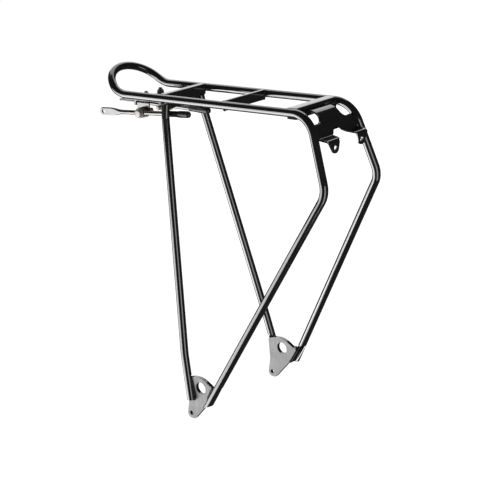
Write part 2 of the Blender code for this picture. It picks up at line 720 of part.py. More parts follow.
def rod_section(x):
    """Half thickness and half height of the rod at a distance x behind its flattened tip."""
    flat = (ROD_FLAT_HALF_THICKNESS, ROD_FLAT_HALF_HEIGHT)
    if x < ROD_FLAT_HALF_HEIGHT:
        offset = ROD_FLAT_HALF_HEIGHT - x
        return flat[0], max(math.sqrt(flat[1] ** 2 - offset ** 2), 0.0008)
    if x <= ROD_FLAT_LENGTH:
        return flat
    share = min((x - ROD_FLAT_LENGTH) / ROD_TAPER_LENGTH, 1.0)
    share = share * share * (3 - 2 * share)
    return tuple(a + (ROD_RADIUS - a) * share for a in flat)


def make_rod(side, tip, pivot):
    """A steel rod with one end pressed flat and drilled, lofted from its changing sections."""
    name = side + "_stay_rod"
    tip_steps = 6
    stations = []
    for i in range(tip_steps):
        stations.append(ROD_FLAT_HALF_HEIGHT * (1 - math.cos(math.pi / 2 * i / tip_steps)))
    stations += [ROD_FLAT_HALF_HEIGHT, ROD_FLAT_LENGTH]
    stations += [ROD_FLAT_LENGTH + ROD_TAPER_LENGTH * i / 6 for i in range(1, 7)]
    stations += [ROD_LENGTH]
    sides = 20
    edit = bmesh.new()
    rings = []
    for x in stations:
        half_thickness, half_height = rod_section(x)
        roundness = 2.0 + 2.5 * (ROD_RADIUS - half_thickness) / (ROD_RADIUS - ROD_FLAT_HALF_THICKNESS)
        ring = []
        for i in range(sides):
            angle = 2 * math.pi * (i + 0.5) / sides
            across = math.copysign(abs(math.cos(angle)) ** (2 / roundness), math.cos(angle))
            up = math.copysign(abs(math.sin(angle)) ** (2 / roundness), math.sin(angle))
            ring.append(edit.verts.new((x - tip, half_thickness * across, half_height * up)))
        rings.append(ring)
    for ring, following in zip(rings, rings[1:]):
        for i in range(sides):
            j = (i + 1) % sides
            edit.faces.new((ring[i], ring[j], following[j], following[i]))
    edit.faces.new(rings[0][::-1])
    edit.faces.new(rings[-1])
    bmesh.ops.recalc_face_normals(edit, faces=edit.faces)
    mesh = bpy.data.meshes.new(name)
    edit.to_mesh(mesh)
    edit.free()
    turn = Matrix.Rotation(ROD_TURN[side], 4, "X")
    mesh.transform(turn)
    rod = add_object(name, mesh, STAINLESS, parent=pivot)
    hole_x = ROD_HOLE_FROM_TIP - tip
    hole = cylinder_mesh(name + "_hole", ROD_HOLE_RADIUS, -0.006, 0.006, "y", (hole_x, 0, 0), 24)
    hole.transform(turn)
    add_boolean(rod, add_cutter(name + "_hole", hole, pivot))


def make_cap(side, tip, pivot):
    """The rubber cap pushed over the rod's rear end, turned about the rod's axis."""
    name = side + "_end_cap"
    bore = ROD_RADIUS + GAP
    inner_end = CAP_LENGTH - CAP_WALL_END
    profile = [(bore, inner_end), (bore, 0.0), (CAP_NECK_RADIUS, 0.0), (CAP_NECK_RADIUS, 0.0110)]
    profile += [(CAP_NECK_RADIUS + 0.0001, 0.0130), (CAP_RADIUS, 0.0170)]
    nose = CAP_LENGTH - CAP_RADIUS
    profile += [(r, nose + h) for r, h in arc_points((0, 0), CAP_RADIUS, 0, math.pi / 2, 6)]
    outline = [(0.0, inner_end)] + profile
    mesh = bpy.data.meshes.new(name)
    edit = bmesh.new()
    verts = [edit.verts.new((r, 0, h)) for r, h in outline[::-1]]
    for first, second in zip(verts, verts[1:]):
        edit.edges.new((first, second))
    edit.to_mesh(mesh)
    edit.free()
    cap = add_object(name, mesh, RUBBER, smooth=False, parent=pivot)
    cap.rotation_euler = (0, math.pi / 2, 0)
    cap.location = (ROD_LENGTH - tip - inner_end + GAP, 0, 0)
    turn = cap.modifiers.new("turned", "SCREW")
    turn.angle = 2 * math.pi
    turn.axis = "Z"
    turn.steps = 20
    turn.render_steps = 20
    turn.use_merge_vertices = True
    turn.merge_threshold = 0.00001
    turn.use_smooth_shade = True


def make_stays():
    for side, sign, tip, pitch in SIDES:
        make_swivel_bolt(side, sign)
        make_stay_angle(side, sign)
        pivot = make_clamp(side, sign, pitch)
        make_rod(side, tip, pivot)
        make_cap(side, tip, pivot)


make_tubes()
hoop_clearance = make_crossbars()
make_dropouts()
make_lamp_bracket(hoop_clearance)
make_bridge_plate()
make_stay_plate()
make_stays()
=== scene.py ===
"""Looks of the rear rack: smooth tubes, welds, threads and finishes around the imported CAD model.

Frame: origin midway between the two eyelet holes, +X towards the tail, +Y to the bicycle's right, +Z up.
All lengths are in metres.
"""
import math

import bmesh
import bpy
from mathutils import Matrix, Vector


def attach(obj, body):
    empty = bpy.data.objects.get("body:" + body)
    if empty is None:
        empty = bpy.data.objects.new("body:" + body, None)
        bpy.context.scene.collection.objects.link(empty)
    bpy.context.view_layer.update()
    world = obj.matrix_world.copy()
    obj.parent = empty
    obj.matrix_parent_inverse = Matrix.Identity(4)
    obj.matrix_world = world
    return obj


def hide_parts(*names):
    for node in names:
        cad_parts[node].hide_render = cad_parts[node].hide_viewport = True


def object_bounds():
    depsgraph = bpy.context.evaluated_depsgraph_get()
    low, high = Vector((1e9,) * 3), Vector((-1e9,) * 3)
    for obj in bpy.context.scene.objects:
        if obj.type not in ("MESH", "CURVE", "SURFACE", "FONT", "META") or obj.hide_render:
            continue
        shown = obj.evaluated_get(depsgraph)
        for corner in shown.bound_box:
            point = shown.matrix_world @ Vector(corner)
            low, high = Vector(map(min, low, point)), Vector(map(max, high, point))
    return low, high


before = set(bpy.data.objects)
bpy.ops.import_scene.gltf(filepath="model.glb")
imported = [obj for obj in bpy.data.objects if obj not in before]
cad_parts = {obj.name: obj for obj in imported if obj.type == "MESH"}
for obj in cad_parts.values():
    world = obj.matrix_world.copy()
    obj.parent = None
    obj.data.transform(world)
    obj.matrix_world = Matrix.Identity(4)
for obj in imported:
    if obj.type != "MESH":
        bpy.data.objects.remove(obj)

CAD_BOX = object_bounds()
TOUCH = 0.0002                    # clearance left between pieces that meet
GAP = 0.0003                      # clearance between nodes in the CAD model

# Tubes: centre lines as in the CAD model
TUBE_RADIUS = 0.005
TUBE_WALL = 0.0012
TUBE_SIDES = 40
RAIL_Y = 0.040
RAIL_Z = 0.3925
LEG_END = (0.0307, 0.0872, 0.0143)
KNEE = (0.2063, 0.0510, 0.3055)
UPPER_CORNER = (0.1798, RAIL_Y, RAIL_Z)
KNEE_RADIUS = 0.026
UPPER_RADIUS = 0.032
LOOP_BEND_X = -0.1129
LOOP_BEND_RADIUS = 0.036
LOOP_TILT = math.radians(39)
LOOP_STRAIGHT = 0.0137
STRUT_END = (0.0044, 0.0861, 0.0204)
STRUT_LOW_BEND = (-0.0068, 0.0802, 0.0780)
STRUT_HIGH_BEND = (-0.0525, 0.0348, 0.3670)
STRUT_LOW_RADIUS = 0.150
STRUT_HIGH_RADIUS = 0.030
STRUT_TOP_Y = 0.0310

# Cross-bars: name, centre x, width, height, hollow
BAR_TOP = RAIL_Z + TUBE_RADIUS
BAR_HALF_LENGTH = 0.0366
BAR_WALL = 0.0015
BAR_CORNER_SHARE = 0.22           # radius of a bar's edges, as a share of its smaller side
FRONT_BAR_X = -0.0532
REAR_BAR_X = 0.1518
REAR_BAR_WIDTH = 0.016
HOLLOW_BAR_HEIGHT = 0.0130
BARS = (
    ("front_crossbar", FRONT_BAR_X, 0.010, HOLLOW_BAR_HEIGHT, True),
    ("middle_crossbar", 0.0483, 0.005, 0.0125, False),
    ("rear_crossbar", REAR_BAR_X, REAR_BAR_WIDTH, HOLLOW_BAR_HEIGHT, True),
)
STRUT_TOP = BAR_TOP - HOLLOW_BAR_HEIGHT - GAP
STRUT_EXTRA = 0.003               # length above the level at which the struts are cut off

# Dropout plates: (x, z, corner radius) about the eyelet
DROPOUT_Y = 0.0803
DROPOUT_THICKNESS = 0.005
DROPOUT_OUTLINE = (
    (-0.0082, -0.0072, 0.0064),
    (0.0052, -0.0068, 0.0052),
    (0.0293, 0.0188, 0.0030),
    (0.0438, 0.0405, 0.0020),
    (0.0388, 0.0422, 0.0030),
    (0.0188, 0.0540, 0.0300),
    (-0.0037, 0.0480, 0.0020),
    (-0.0026, 0.0190, 0.0300),
)
EYELET_RADIUS = 0.0030
LIGHTENING_HOLE = (0.0191, 0.0377)
LIGHTENING_RADIUS = 0.0079
SEAT_TOP_STRUT = 0.0518           # the tubes are milled flat below these levels, to seat on the plate
SEAT_TOP_LEG = 0.0470
SEAT_SPLIT_X = 0.0208
SEAT_INNER_Y = 0.070
SEAT_BOTTOM = -0.005
SEAT_FRONT = -0.020
SEAT_REAR = 0.070
LEG_CUT_BOTTOM = -0.020
LEG_CUT_LOW = (0.0088, 0.0097)    # the legs' slanted lower ends follow the line through these points
LEG_CUT_HIGH = (0.0688, 0.0307)

# Lamp bracket
LAMP_SHEET = 0.0025
LAMP_PROFILE = (
    (0.16145, 0.3913, 0.0),
    (0.1723, 0.3905, 0.0170),
    (0.182, 0.3780, 0.0250),
    (0.1888, 0.3637, 0.0035),
    (0.2026, 0.3622, 0.0030),
    (0.2026, 0.3420, 0.0),
)
LAMP_HOLE = (0.025, 0.354)
LAMP_HOLE_RADIUS = 0.00275
EAR_INNER = 0.0168
EAR_OUTER = 0.0370
EAR_OUTER_Z = 0.3612
EAR_TIP_RADIUS = 0.0066

# Plates below the front cross-bar
SHEET = 0.003
STAY_PLATE_TOP = 0.3842
STAY_PLATE_HALF_WIDTH = 0.0205
STAY_PLATE_FRONT = -0.1197
STAY_PLATE_LIP = 0.3745
BRIDGE_BOTTOM = 0.3770
BRIDGE_HALF_WIDTH = 0.0258

# Stay clamps and rods
CLAMP_X = -0.1052
CLAMP_Z = 0.3670
SWIVEL_Y = 0.013
ANGLE_SHEET = 0.0022
ANGLE_HALF_WIDTH = 0.0105
ANGLE_OUTER_Y = 0.0205
ANGLE_TIP_Z = 0.370
SWIVEL_RADIUS = 0.0025
SWIVEL_HOLE_RADIUS = 0.0029
SWIVEL_HEAD_RADIUS = 0.00475
SWIVEL_HEAD_HEIGHT = 0.00275
SWIVEL_END = 0.0021
SWIVEL_WASHER_RADIUS = 0.005
SWIVEL_WASHER_THICKNESS = 0.001
LOCKNUT_ACROSS_FLATS = 0.008
LOCKNUT_HEX_HEIGHT = 0.0036
LOCKNUT_HEIGHT = 0.005
LOCKNUT_COLLAR_RADIUS = 0.0036
BOLT_RADIUS = 0.003
BOLT_INNER_Y = 0.0045
THREAD_PITCH = 0.001
BOLT_HOLE_RADIUS = 0.0034
NUT_ACROSS_FLATS = 0.010
WASHER_RADIUS = 0.006
WASHER_THICKNESS = 0.0012
NUT_HEIGHT = 0.005
SLEEVE_RADIUS = 0.0068
SLEEVE_BORE = 0.0053
SLEEVE_OUTER_Y = 0.0289
NECK_RADIUS = 0.0050
NECK_RECESS = 0.0008              # the neck ends this far inside the sleeve's inner face
CLAMP_HEAD_RADIUS = 0.0055
CLAMP_HEAD_HEIGHT = 0.0030
ROD_Y = 0.0248
ROD_RADIUS = 0.003
ROD_LENGTH = 0.158
ROD_FLAT_LENGTH = 0.0195
ROD_TAPER_LENGTH = 0.0230
ROD_FLAT_HALF_HEIGHT = 0.0053
ROD_FLAT_HALF_THICKNESS = 0.0013
ROD_HOLE_RADIUS = 0.00265
ROD_HOLE_FROM_TIP = 0.0062
ROD_CHAMFER = 0.0005
CAP_LENGTH = 0.034
CAP_WALL_END = 0.0025
CAP_NECK_RADIUS = 0.0038
CAP_RADIUS = 0.0043
SIDES = (
    ("left", -1, 0.0750, math.radians(3.3)),
    ("right", 1, 0.0875, math.radians(-0.9)),
)
ROD_TURN = {"left": 0.0, "right": math.radians(90)}

# Weld beads: spacing of the ripples, and radii from the thinnest to the thickest
BEAD_PITCH = 0.0016
BEAD_SIDES = 14
THIN_BEAD = 0.0010
PLATE_BEAD = 0.0011
BAR_BEAD = 0.0012
STRUT_END_BEAD = 0.0014
LEG_BEAD = 0.0015
SEAM_BEAD = 0.0016
STRUT_BEAD = 0.0019

# The span of a noise that colours and roughness are stretched over
NOISE_LOW = 0.3
NOISE_HIGH = 0.7

# Camera: direction, roll and distance to a target on the middle plane
CAMERA_AZIMUTH = math.radians(41.99)
CAMERA_ELEVATION = math.radians(16.91)
CAMERA_ROLL = math.radians(-3.73)
CAMERA_TARGET = Vector((0.0268, 0.0, 0.2111))
CAMERA_DISTANCE = 1.738
CAMERA_LENS = 103.95


# -------------------- materials

def new_material(name, color, roughness, metallic):
    """A Principled material, with these values on the shader's own sockets."""
    material = bpy.data.materials.new(name)
    material.use_nodes = True
    shader = material.node_tree.nodes["Principled BSDF"]
    shader.inputs["Base Color"].default_value = (*color, 1.0)
    shader.inputs["Roughness"].default_value = roughness
    shader.inputs["Metallic"].default_value = metallic
    material.diffuse_color = (*color, 1.0)
    return material


def add_noise(material, scale, stretch=(1, 1, 1), detail=3.0):
    """A noise in object coordinates, whose scale counts features per metre."""
    tree = material.node_tree
    place = tree.nodes.new("ShaderNodeTexCoord")
    mapping = tree.nodes.new("ShaderNodeMapping")
    mapping.inputs["Scale"].default_value = stretch
    noise = tree.nodes.new("ShaderNodeTexNoise")
    noise.inputs["Scale"].default_value = scale
    noise.inputs["Detail"].default_value = detail
    tree.links.new(place.outputs["Object"], mapping.inputs["Vector"])
    tree.links.new(mapping.outputs["Vector"], noise.inputs["Vector"])
    return noise.outputs["Fac"]


def vary_color(material, factor, dark, light):
    """Drive the base colour with a noise, from dark to light."""
    tree = material.node_tree
    ramp = tree.nodes.new("ShaderNodeValToRGB")
    ramp.color_ramp.elements[0].position = NOISE_LOW
    ramp.color_ramp.elements[0].color = (*dark, 1.0)
    ramp.color_ramp.elements[1].position = NOISE_HIGH
    ramp.color_ramp.elements[1].color = (*light, 1.0)
    tree.links.new(factor, ramp.inputs["Fac"])
    tree.links.new(ramp.outputs["Color"], tree.nodes["Principled BSDF"].inputs["Base Color"])


def vary_roughness(material, factor, low, high):
    """Drive the roughness with a noise, from low to high."""
    tree = material.node_tree
    span = tree.nodes.new("ShaderNodeMapRange")
    span.inputs["From Min"].default_value = NOISE_LOW
    span.inputs["From Max"].default_value = NOISE_HIGH
    span.inputs["To Min"].default_value = low
    span.inputs["To Max"].default_value = high
    tree.links.new(factor, span.inputs["Value"])
    tree.links.new(span.outputs["Result"], tree.nodes["Principled BSDF"].inputs["Roughness"])


def add_bump(material, heights, strength, depth):
    """Bump from one or more noises, the first the strongest."""
    tree = material.node_tree
    before = None
    for i, height in enumerate(heights):
        bump = tree.nodes.new("ShaderNodeBump")
        bump.inputs["Strength"].default_value = strength / (i + 1)
        bump.inputs["Distance"].default_value = depth
        tree.links.new(height, bump.inputs["Height"])
        if before:
            tree.links.new(before, bump.inputs["Normal"])
        before = bump.outputs["Normal"]
    tree.links.new(before, tree.nodes["Principled BSDF"].inputs["Normal"])


def make_black_paint():
    """Gloss black powder coat: a deep clear surface with a faint orange peel and a little dust."""
    material = new_material("black_paint_gloss", (0.006, 0.006, 0.006), 0.16, 0.0)
    shader = material.node_tree.nodes["Principled BSDF"]
    shader.inputs["Specular IOR Level"].default_value = 1.0
    shader.inputs["Coat Weight"].default_value = 1.0
    shader.inputs["Coat Roughness"].default_value = 0.05
    shader.inputs["Coat IOR"].default_value = 1.8
    cloud = add_noise(material, 26.0, detail=5.0)
    vary_color(material, cloud, (0.0045, 0.0045, 0.0048), (0.0085, 0.0080, 0.0078))
    vary_roughness(material, cloud, 0.12, 0.20)
    add_bump(material, [add_noise(material, 420.0, detail=1.5), add_noise(material, 1500.0)], 0.05, 0.0004)
    return material


def make_plate_face_glare():
    """Light grey faces of the dropout plates, with a fine upright grain: a painted reflection of a bright
    panel on their black paint.
    """
    # light grey, half-metal base: painted reflection of a bright panel, standing on black-painted faces
    material = new_material("plate_face_painted_glare", (0.19, 0.19, 0.19), 0.45, 0.60)
    grain = add_noise(material, 900.0, stretch=(1.0, 1.0, 0.06), detail=4.0)
    cloud = add_noise(material, 60.0, detail=5.0)
    vary_color(material, cloud, (0.165, 0.165, 0.165), (0.21, 0.21, 0.21))
    vary_roughness(material, grain, 0.40, 0.55)
    add_bump(material, [grain], 0.05, 0.0002)
    return material


def make_stainless(name, stretch):
    """Drawn stainless steel, its grain along one direction."""
    material = new_material(name, (0.22, 0.22, 0.217), 0.18, 1.0)
    grain = add_noise(material, 1400.0, stretch=stretch, detail=4.0)
    cloud = add_noise(material, 90.0, detail=4.0)
    vary_color(material, cloud, (0.195, 0.195, 0.192), (0.245, 0.245, 0.24))
    vary_roughness(material, grain, 0.13, 0.22)
    add_bump(material, [grain], 0.06, 0.0002)
    return material


def make_zinc():
    """Zinc plating with the faint warm cast of its passivated surface."""
    material = new_material("zinc_plated", (0.36, 0.34, 0.31), 0.26, 0.55)
    cloud = add_noise(material, 260.0, detail=6.0)
    vary_color(material, cloud, (0.31, 0.285, 0.24), (0.41, 0.395, 0.37))
    vary_roughness(material, cloud, 0.20, 0.36)
    add_bump(material, [add_noise(material, 2400.0)], 0.08, 0.0002)
    return material


def make_rubber():
    """Dipped black vinyl: soft gloss with slow waves."""
    material = new_material("black_vinyl", (0.013, 0.013, 0.013), 0.18, 0.0)
    cloud = add_noise(material, 140.0, detail=3.0)
    vary_color(material, cloud, (0.010, 0.010, 0.010), (0.018, 0.018, 0.018))
    vary_roughness(material, cloud, 0.14, 0.22)
    add_bump(material, [add_noise(material, 220.0, detail=1.0)], 0.10, 0.0006)
    return material


def make_weld_paint():
    """The same black over a weld, where the coat is thin and dull."""
    material = new_material("black_paint_on_weld", (0.008, 0.008, 0.008), 0.45, 0.0)
    cloud = add_noise(material, 300.0, detail=4.0)
    vary_color(material, cloud, (0.005, 0.005, 0.005), (0.013, 0.012, 0.012))
    vary_roughness(material, cloud, 0.36, 0.55)
    add_bump(material, [add_noise(material, 900.0)], 0.10, 0.0003)
    return material


BLACK_PAINT = make_black_paint()
WELD_PAINT = make_weld_paint()
PLATE_FACE_GLARE = make_plate_face_glare()
STAINLESS_ROD = make_stainless("stainless_drawn", (0.03, 1.0, 1.0))
STAINLESS_SHEET = make_stainless("stainless_sheet", (0.05, 1.0, 1.0))
ZINC = make_zinc()
RUBBER = make_rubber()
PAINT = ("black_paint", [BLACK_PAINT])
WELD = ("black_paint", [WELD_PAINT])
# dropout plates: painted reflection on the flat faces, black paint on the edges
PLATE = ("plate_steel", [PLATE_FACE_GLARE, BLACK_PAINT])
ROD = ("stainless", [STAINLESS_ROD])
ANGLE = ("stainless", [STAINLESS_SHEET])
FASTENER = ("zinc", [ZINC])
CAP = ("rubber", [RUBBER])


# -------------------- geometry helpers

def linked(name, data):
    """A new object in the scene."""
    item = bpy.data.objects.new(name, data)
    bpy.context.scene.collection.objects.link(item)
    return item


def mirrored(point, sign):
    return Vector((point[0], sign * point[1], point[2]))


def arc_points(center, radius, start, end, steps):
    """Points of a flat arc, angles in radians."""
    points = []
    for i in range(steps + 1):
        angle = start + (end - start) * i / steps
        points.append((center[0] + radius * math.cos(angle), center[1] + radius * math.sin(angle)))
    return points


def around(sides, shift=0.0):
    """Cosines and sines of evenly spaced angles."""
    angles = [2 * math.pi * (k + shift) / sides for k in range(sides)]
    return [(math.cos(angle), math.sin(angle)) for angle in angles]


def round_corner(before, corner, after, radius, step):
    """The points of an arc that replaces a corner, in a plane or in space."""
    to_before = (before - corner).normalized()
    to_after = (after - corner).normalized()
    turn = math.pi - to_before.angle(to_after)
    if radius <= 0 or turn < 1e-4:
        return [corner.copy()]
    reach = radius * math.tan(turn / 2)
    center = corner + (to_before + to_after).normalized() * (radius / math.cos(turn / 2))
    first = corner + to_before * reach - center
    last = corner + to_after * reach - center
    steps = max(2, math.ceil(turn / step))
    points = []
    for i in range(steps + 1):
        share = i / steps
        weight_a = math.sin((1 - share) * turn) / math.sin(turn)
        weight_b = math.sin(share * turn) / math.sin(turn)
        points.append(center + first * weight_a + last * weight_b)
    return points


def rounded_path(corners, radii, step=math.radians(3)):
    """An open path whose inner corners are arcs."""
    points = [corners[0].copy()]
    for i in range(1, len(corners) - 1):
        points += round_corner(corners[i - 1], corners[i], corners[i + 1], radii[i], step)
    points.append(corners[-1].copy())
    return points


def rounded_outline(corners, step=math.radians(7.5)):
    """A closed flat outline from (u, v, corner radius) triples."""
    flat = [Vector((u, v, 0)) for u, v, _ in corners]
    points = []
    for i, (_, _, radius) in enumerate(corners):
        arc = round_corner(flat[i - 1], flat[i], flat[(i + 1) % len(flat)], radius, step)
        points += [(p.x, p.y) for p in arc]
    return points


def center_line(corners):
    """A bent sheet's centre line from (u, v, bend radius) triples."""
    flat = [Vector((u, v, 0)) for u, v, _ in corners]
    return rounded_path(flat, [radius for _, _, radius in corners], math.radians(6))


def sheet_outline(corners, thickness):
    """The closed outline of a bent sheet."""
    line = center_line(corners)
    upper = []
    lower = []
    for i, point in enumerate(line):
        along = line[min(i + 1, len(line) - 1)] - line[max(i - 1, 0)]
        normal = Vector((-along.y, along.x, 0)).normalized()
        upper.append(point + normal * thickness / 2)
        lower.append(point - normal * thickness / 2)
    return [(p.x, p.y) for p in upper + lower[::-1]]


def circle_outline(center, radius, steps=48):
    return arc_points(center, radius, 0, 2 * math.pi * (steps - 1) / steps, steps - 1)


def evenly(points, spacing):
    """The same path with points about every spacing."""
    result = [points[0]]
    for a, b in zip(points, points[1:]):
        steps = max(1, round((b - a).length / spacing))
        result += [a.lerp(b, (i + 1) / steps) for i in range(steps)]
    return result


def loft(name, rings, loop=False):
    """Closed mesh through rings of points: caps on both ends, or the last ring joined to the first."""
    edit = bmesh.new()
    made = [[edit.verts.new(point) for point in ring] for ring in rings]
    pairs = list(zip(made, made[1:]))
    if loop:
        pairs.append((made[-1], made[0]))
    else:
        edit.faces.new(made[0][::-1])
        edit.faces.new(made[-1])
    for ring, following in pairs:
        for i in range(len(ring)):
            j = (i + 1) % len(ring)
            edit.faces.new((ring[i], ring[j], following[j], following[i]))
    bmesh.ops.recalc_face_normals(edit, faces=edit.faces)
    mesh = bpy.data.meshes.new(name)
    edit.to_mesh(mesh)
    edit.free()
    return mesh


def rings_along(points, radii, sides):
    """Circles square to a path, without twist."""
    rings = []
    side = None
    for i, point in enumerate(points):
        tangent = (points[min(i + 1, len(points) - 1)] - points[max(i - 1, 0)]).normalized()
        if side is None:
            side = tangent.orthogonal()
        side = (side - tangent * side.dot(tangent)).normalized()
        other = tangent.cross(side)
        rings.append([point + (side * c + other * s) * radii[i] for c, s in around(sides)])
    return rings


def hollow_tube(name, points):
    """A frame tube along a path, open at both ends."""
    outer = rings_along(points, [TUBE_RADIUS] * len(points), TUBE_SIDES)
    inner = rings_along(points, [TUBE_RADIUS - TUBE_WALL] * len(points), TUBE_SIDES)
    return loft(name, outer + inner[::-1], loop=True)


def turned(name, profile, sides=48, closed_ring=False):
    """A turned shape about +Z from (radius, height) pairs, solid or with a bore."""
    rings = [[(radius * c, radius * s, height) for c, s in around(sides)] for radius, height in profile]
    return loft(name, rings, loop=closed_ring)


def flat_mesh(name, outlines, low, high, plane):
    """Extrude closed outlines across a plane: XZ (levels along y), YZ (along x) or XY (along z)."""
    curve = bpy.data.curves.new(name, "CURVE")
    curve.dimensions = "2D"
    curve.fill_mode = "BOTH"
    curve.extrude = (high - low) / 2
    for outline in outlines:
        spline = curve.splines.new("POLY")
        spline.points.add(len(outline) - 1)
        for target, point in zip(spline.points, outline):
            target.co = (point[0], point[1], 0, 1.0)
        spline.use_cyclic_u = True
    source = linked(name + "_curve", curve)
    graph = bpy.context.evaluated_depsgraph_get()
    mesh = bpy.data.meshes.new_from_object(source.evaluated_get(graph))
    bpy.data.objects.remove(source, do_unlink=True)
    bpy.data.curves.remove(curve)
    edit = bmesh.new()
    edit.from_mesh(mesh)
    bmesh.ops.remove_doubles(edit, verts=edit.verts, dist=1e-6)
    bmesh.ops.dissolve_limit(edit, angle_limit=math.radians(0.5), verts=edit.verts, edges=edit.edges)
    bmesh.ops.recalc_face_normals(edit, faces=edit.faces)
    edit.to_mesh(mesh)
    edit.free()
    middle = (low + high) / 2
    frames = {
        "XZ": Matrix(((1, 0, 0, 0), (0, 0, -1, middle), (0, 1, 0, 0), (0, 0, 0, 1))),
        "YZ": Matrix(((0, 0, 1, middle), (1, 0, 0, 0), (0, 1, 0, 0), (0, 0, 0, 1))),
        "XY": Matrix(((1, 0, 0, 0), (0, 1, 0, 0), (0, 0, 1, middle), (0, 0, 0, 1))),
    }
    mesh.transform(frames[plane])
    mesh.name = name
    return mesh


def cylinder_mesh(radius, start, end, sides=48):
    """A plain cylinder between two points, used to cut holes."""
    start = Vector(start)
    end = Vector(end)
    return loft("cylinder", rings_along([start, end], [radius, radius], sides))


def box_mesh(low, high):
    mesh = bpy.data.meshes.new("box")
    edit = bmesh.new()
    bmesh.ops.create_cube(edit, size=1.0)
    edit.to_mesh(mesh)
    edit.free()
    low = Vector(low)
    high = Vector(high)
    mesh.transform(Matrix.Translation((low + high) / 2) @ Matrix.Diagonal((*(high - low), 1.0)))
    return mesh


def with_modifier(mesh, kind, **settings):
    """The mesh after one modifier."""
    holder = linked("work", mesh)
    modifier = holder.modifiers.new(kind, kind)
    for key, value in settings.items():
        setattr(modifier, key, value)
    graph = bpy.context.evaluated_depsgraph_get()
    result = bpy.data.meshes.new_from_object(holder.evaluated_get(graph))
    bpy.data.objects.remove(holder, do_unlink=True)
    result.name = mesh.name
    return result


def joined(mesh, tool, operation="DIFFERENCE"):
    """Boolean of two meshes: what is left after the cut, or the union or intersection."""
    cutter = linked("cutter", tool)
    result = with_modifier(mesh, "BOOLEAN", object=cutter, operation=operation, solver="EXACT")
    bpy.data.objects.remove(cutter, do_unlink=True)
    return result


def eased(mesh, width=0.0004, angle=35.0):
    """Break the sharp edges."""
    return with_modifier(mesh, "BEVEL", width=width, segments=2, limit_method="ANGLE",
                         angle_limit=math.radians(angle), use_clamp_overlap=False, loop_slide=False)


def add_piece(name, mesh, finish, body, node=None, smooth_angle=35.0):
    """One shown piece: its finish, the CAD body it rides on and the CAD node it stands for."""
    slot_name, materials = finish
    piece = linked(name, mesh)
    mesh.materials.clear()
    for material in materials:
        mesh.materials.append(material)
    mesh.shade_smooth()
    mesh.set_sharp_from_angle(angle=math.radians(smooth_angle))
    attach(piece, body)
    if node:
        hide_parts(node)
    return piece


def keep_faces_flat(piece):
    """Shade wide faces flat and let the eased edges carry the turn."""
    weighted = piece.modifiers.new("flat faces", "WEIGHTED_NORMAL")
    weighted.keep_sharp = True
    weighted.weight = 80


# -------------------- frame tubes

def loop_point(s, y):
    """A point of the front loop: s runs forward along the bent-up rails from the bend's start."""
    bend_length = LOOP_BEND_RADIUS * LOOP_TILT
    turn = min(max(s, 0.0), bend_length) / LOOP_BEND_RADIUS
    beyond = max(s - bend_length, 0.0)
    x = LOOP_BEND_X - LOOP_BEND_RADIUS * math.sin(turn) - beyond * math.cos(LOOP_TILT)
    z = RAIL_Z + LOOP_BEND_RADIUS * (1 - math.cos(turn)) + beyond * math.sin(LOOP_TILT)
    return Vector((x, y, z))


def hoop_path():
    """The hoop's centre line from the left leg's lower end to the right leg's."""
    radii = (0, KNEE_RADIUS, UPPER_RADIUS, 0)
    half = {}
    for sign in (-1, 1):
        corners = [mirrored(p, sign) for p in (LEG_END, KNEE, UPPER_CORNER, loop_point(0, RAIL_Y))]
        half[sign] = rounded_path(corners, radii)
    straight_steps = 8
    leading = [loop_point(LOOP_STRAIGHT * (i + 1) / straight_steps, RAIL_Y)
               for i in range(straight_steps - 1)]
    loop = [mirrored(p, -1) for p in leading]
    steps = 72
    for i in range(steps + 1):
        angle = math.pi * i / steps
        loop.append(loop_point(LOOP_STRAIGHT + RAIL_Y * math.sin(angle), -RAIL_Y * math.cos(angle)))
    loop += leading[::-1]
    return half[-1] + loop + half[1][::-1]


def strut_path(sign):
    top = (FRONT_BAR_X, STRUT_TOP_Y, STRUT_TOP + STRUT_EXTRA)
    corners = [mirrored(p, sign) for p in (STRUT_END, STRUT_LOW_BEND, STRUT_HIGH_BEND, top)]
    return rounded_path(corners, (0, STRUT_LOW_RADIUS, STRUT_HIGH_RADIUS, 0), math.radians(1.5))


def seat_cutter(sign, top, x_low, x_high):
    """The flat milled into a tube's lower end, where it is welded to the dropout plate."""
    outer = sign * (DROPOUT_Y + DROPOUT_THICKNESS / 2 + TOUCH)
    inner = sign * SEAT_INNER_Y
    return box_mesh((x_low, min(inner, outer), SEAT_BOTTOM), (x_high, max(inner, outer), top))


def make_tubes():
    """The hoop and both struts, hollow, with their lower ends milled and their cuts made."""
    hoop = hollow_tube("hoop_tube", HOOP)
    below = [LEG_CUT_LOW, LEG_CUT_HIGH, (LEG_CUT_HIGH[0], LEG_CUT_BOTTOM), (LEG_CUT_LOW[0], LEG_CUT_BOTTOM)]
    hoop = joined(hoop, flat_mesh("leg_ends", [below], -0.110, 0.110, "XZ"))
    above_low = (FRONT_BAR_X - 0.02, -0.06, STRUT_TOP)
    above_high = (FRONT_BAR_X + 0.02, 0.06, 0.40)
    for side, sign, _, _ in SIDES:
        hoop = joined(hoop, seat_cutter(sign, SEAT_TOP_LEG, SEAT_SPLIT_X, SEAT_REAR))
        strut = hollow_tube(side + "_strut_tube", strut_path(sign))
        strut = joined(strut, box_mesh(above_low, above_high))
        strut = joined(strut, seat_cutter(sign, SEAT_TOP_STRUT, SEAT_FRONT, SEAT_SPLIT_X))
        add_piece(side + "_strut_tube", strut, PAINT, "frame", side + "_strut")
    add_piece("hoop_tube", hoop, PAINT, "frame", "main_hoop")


# -------------------- cross-bars

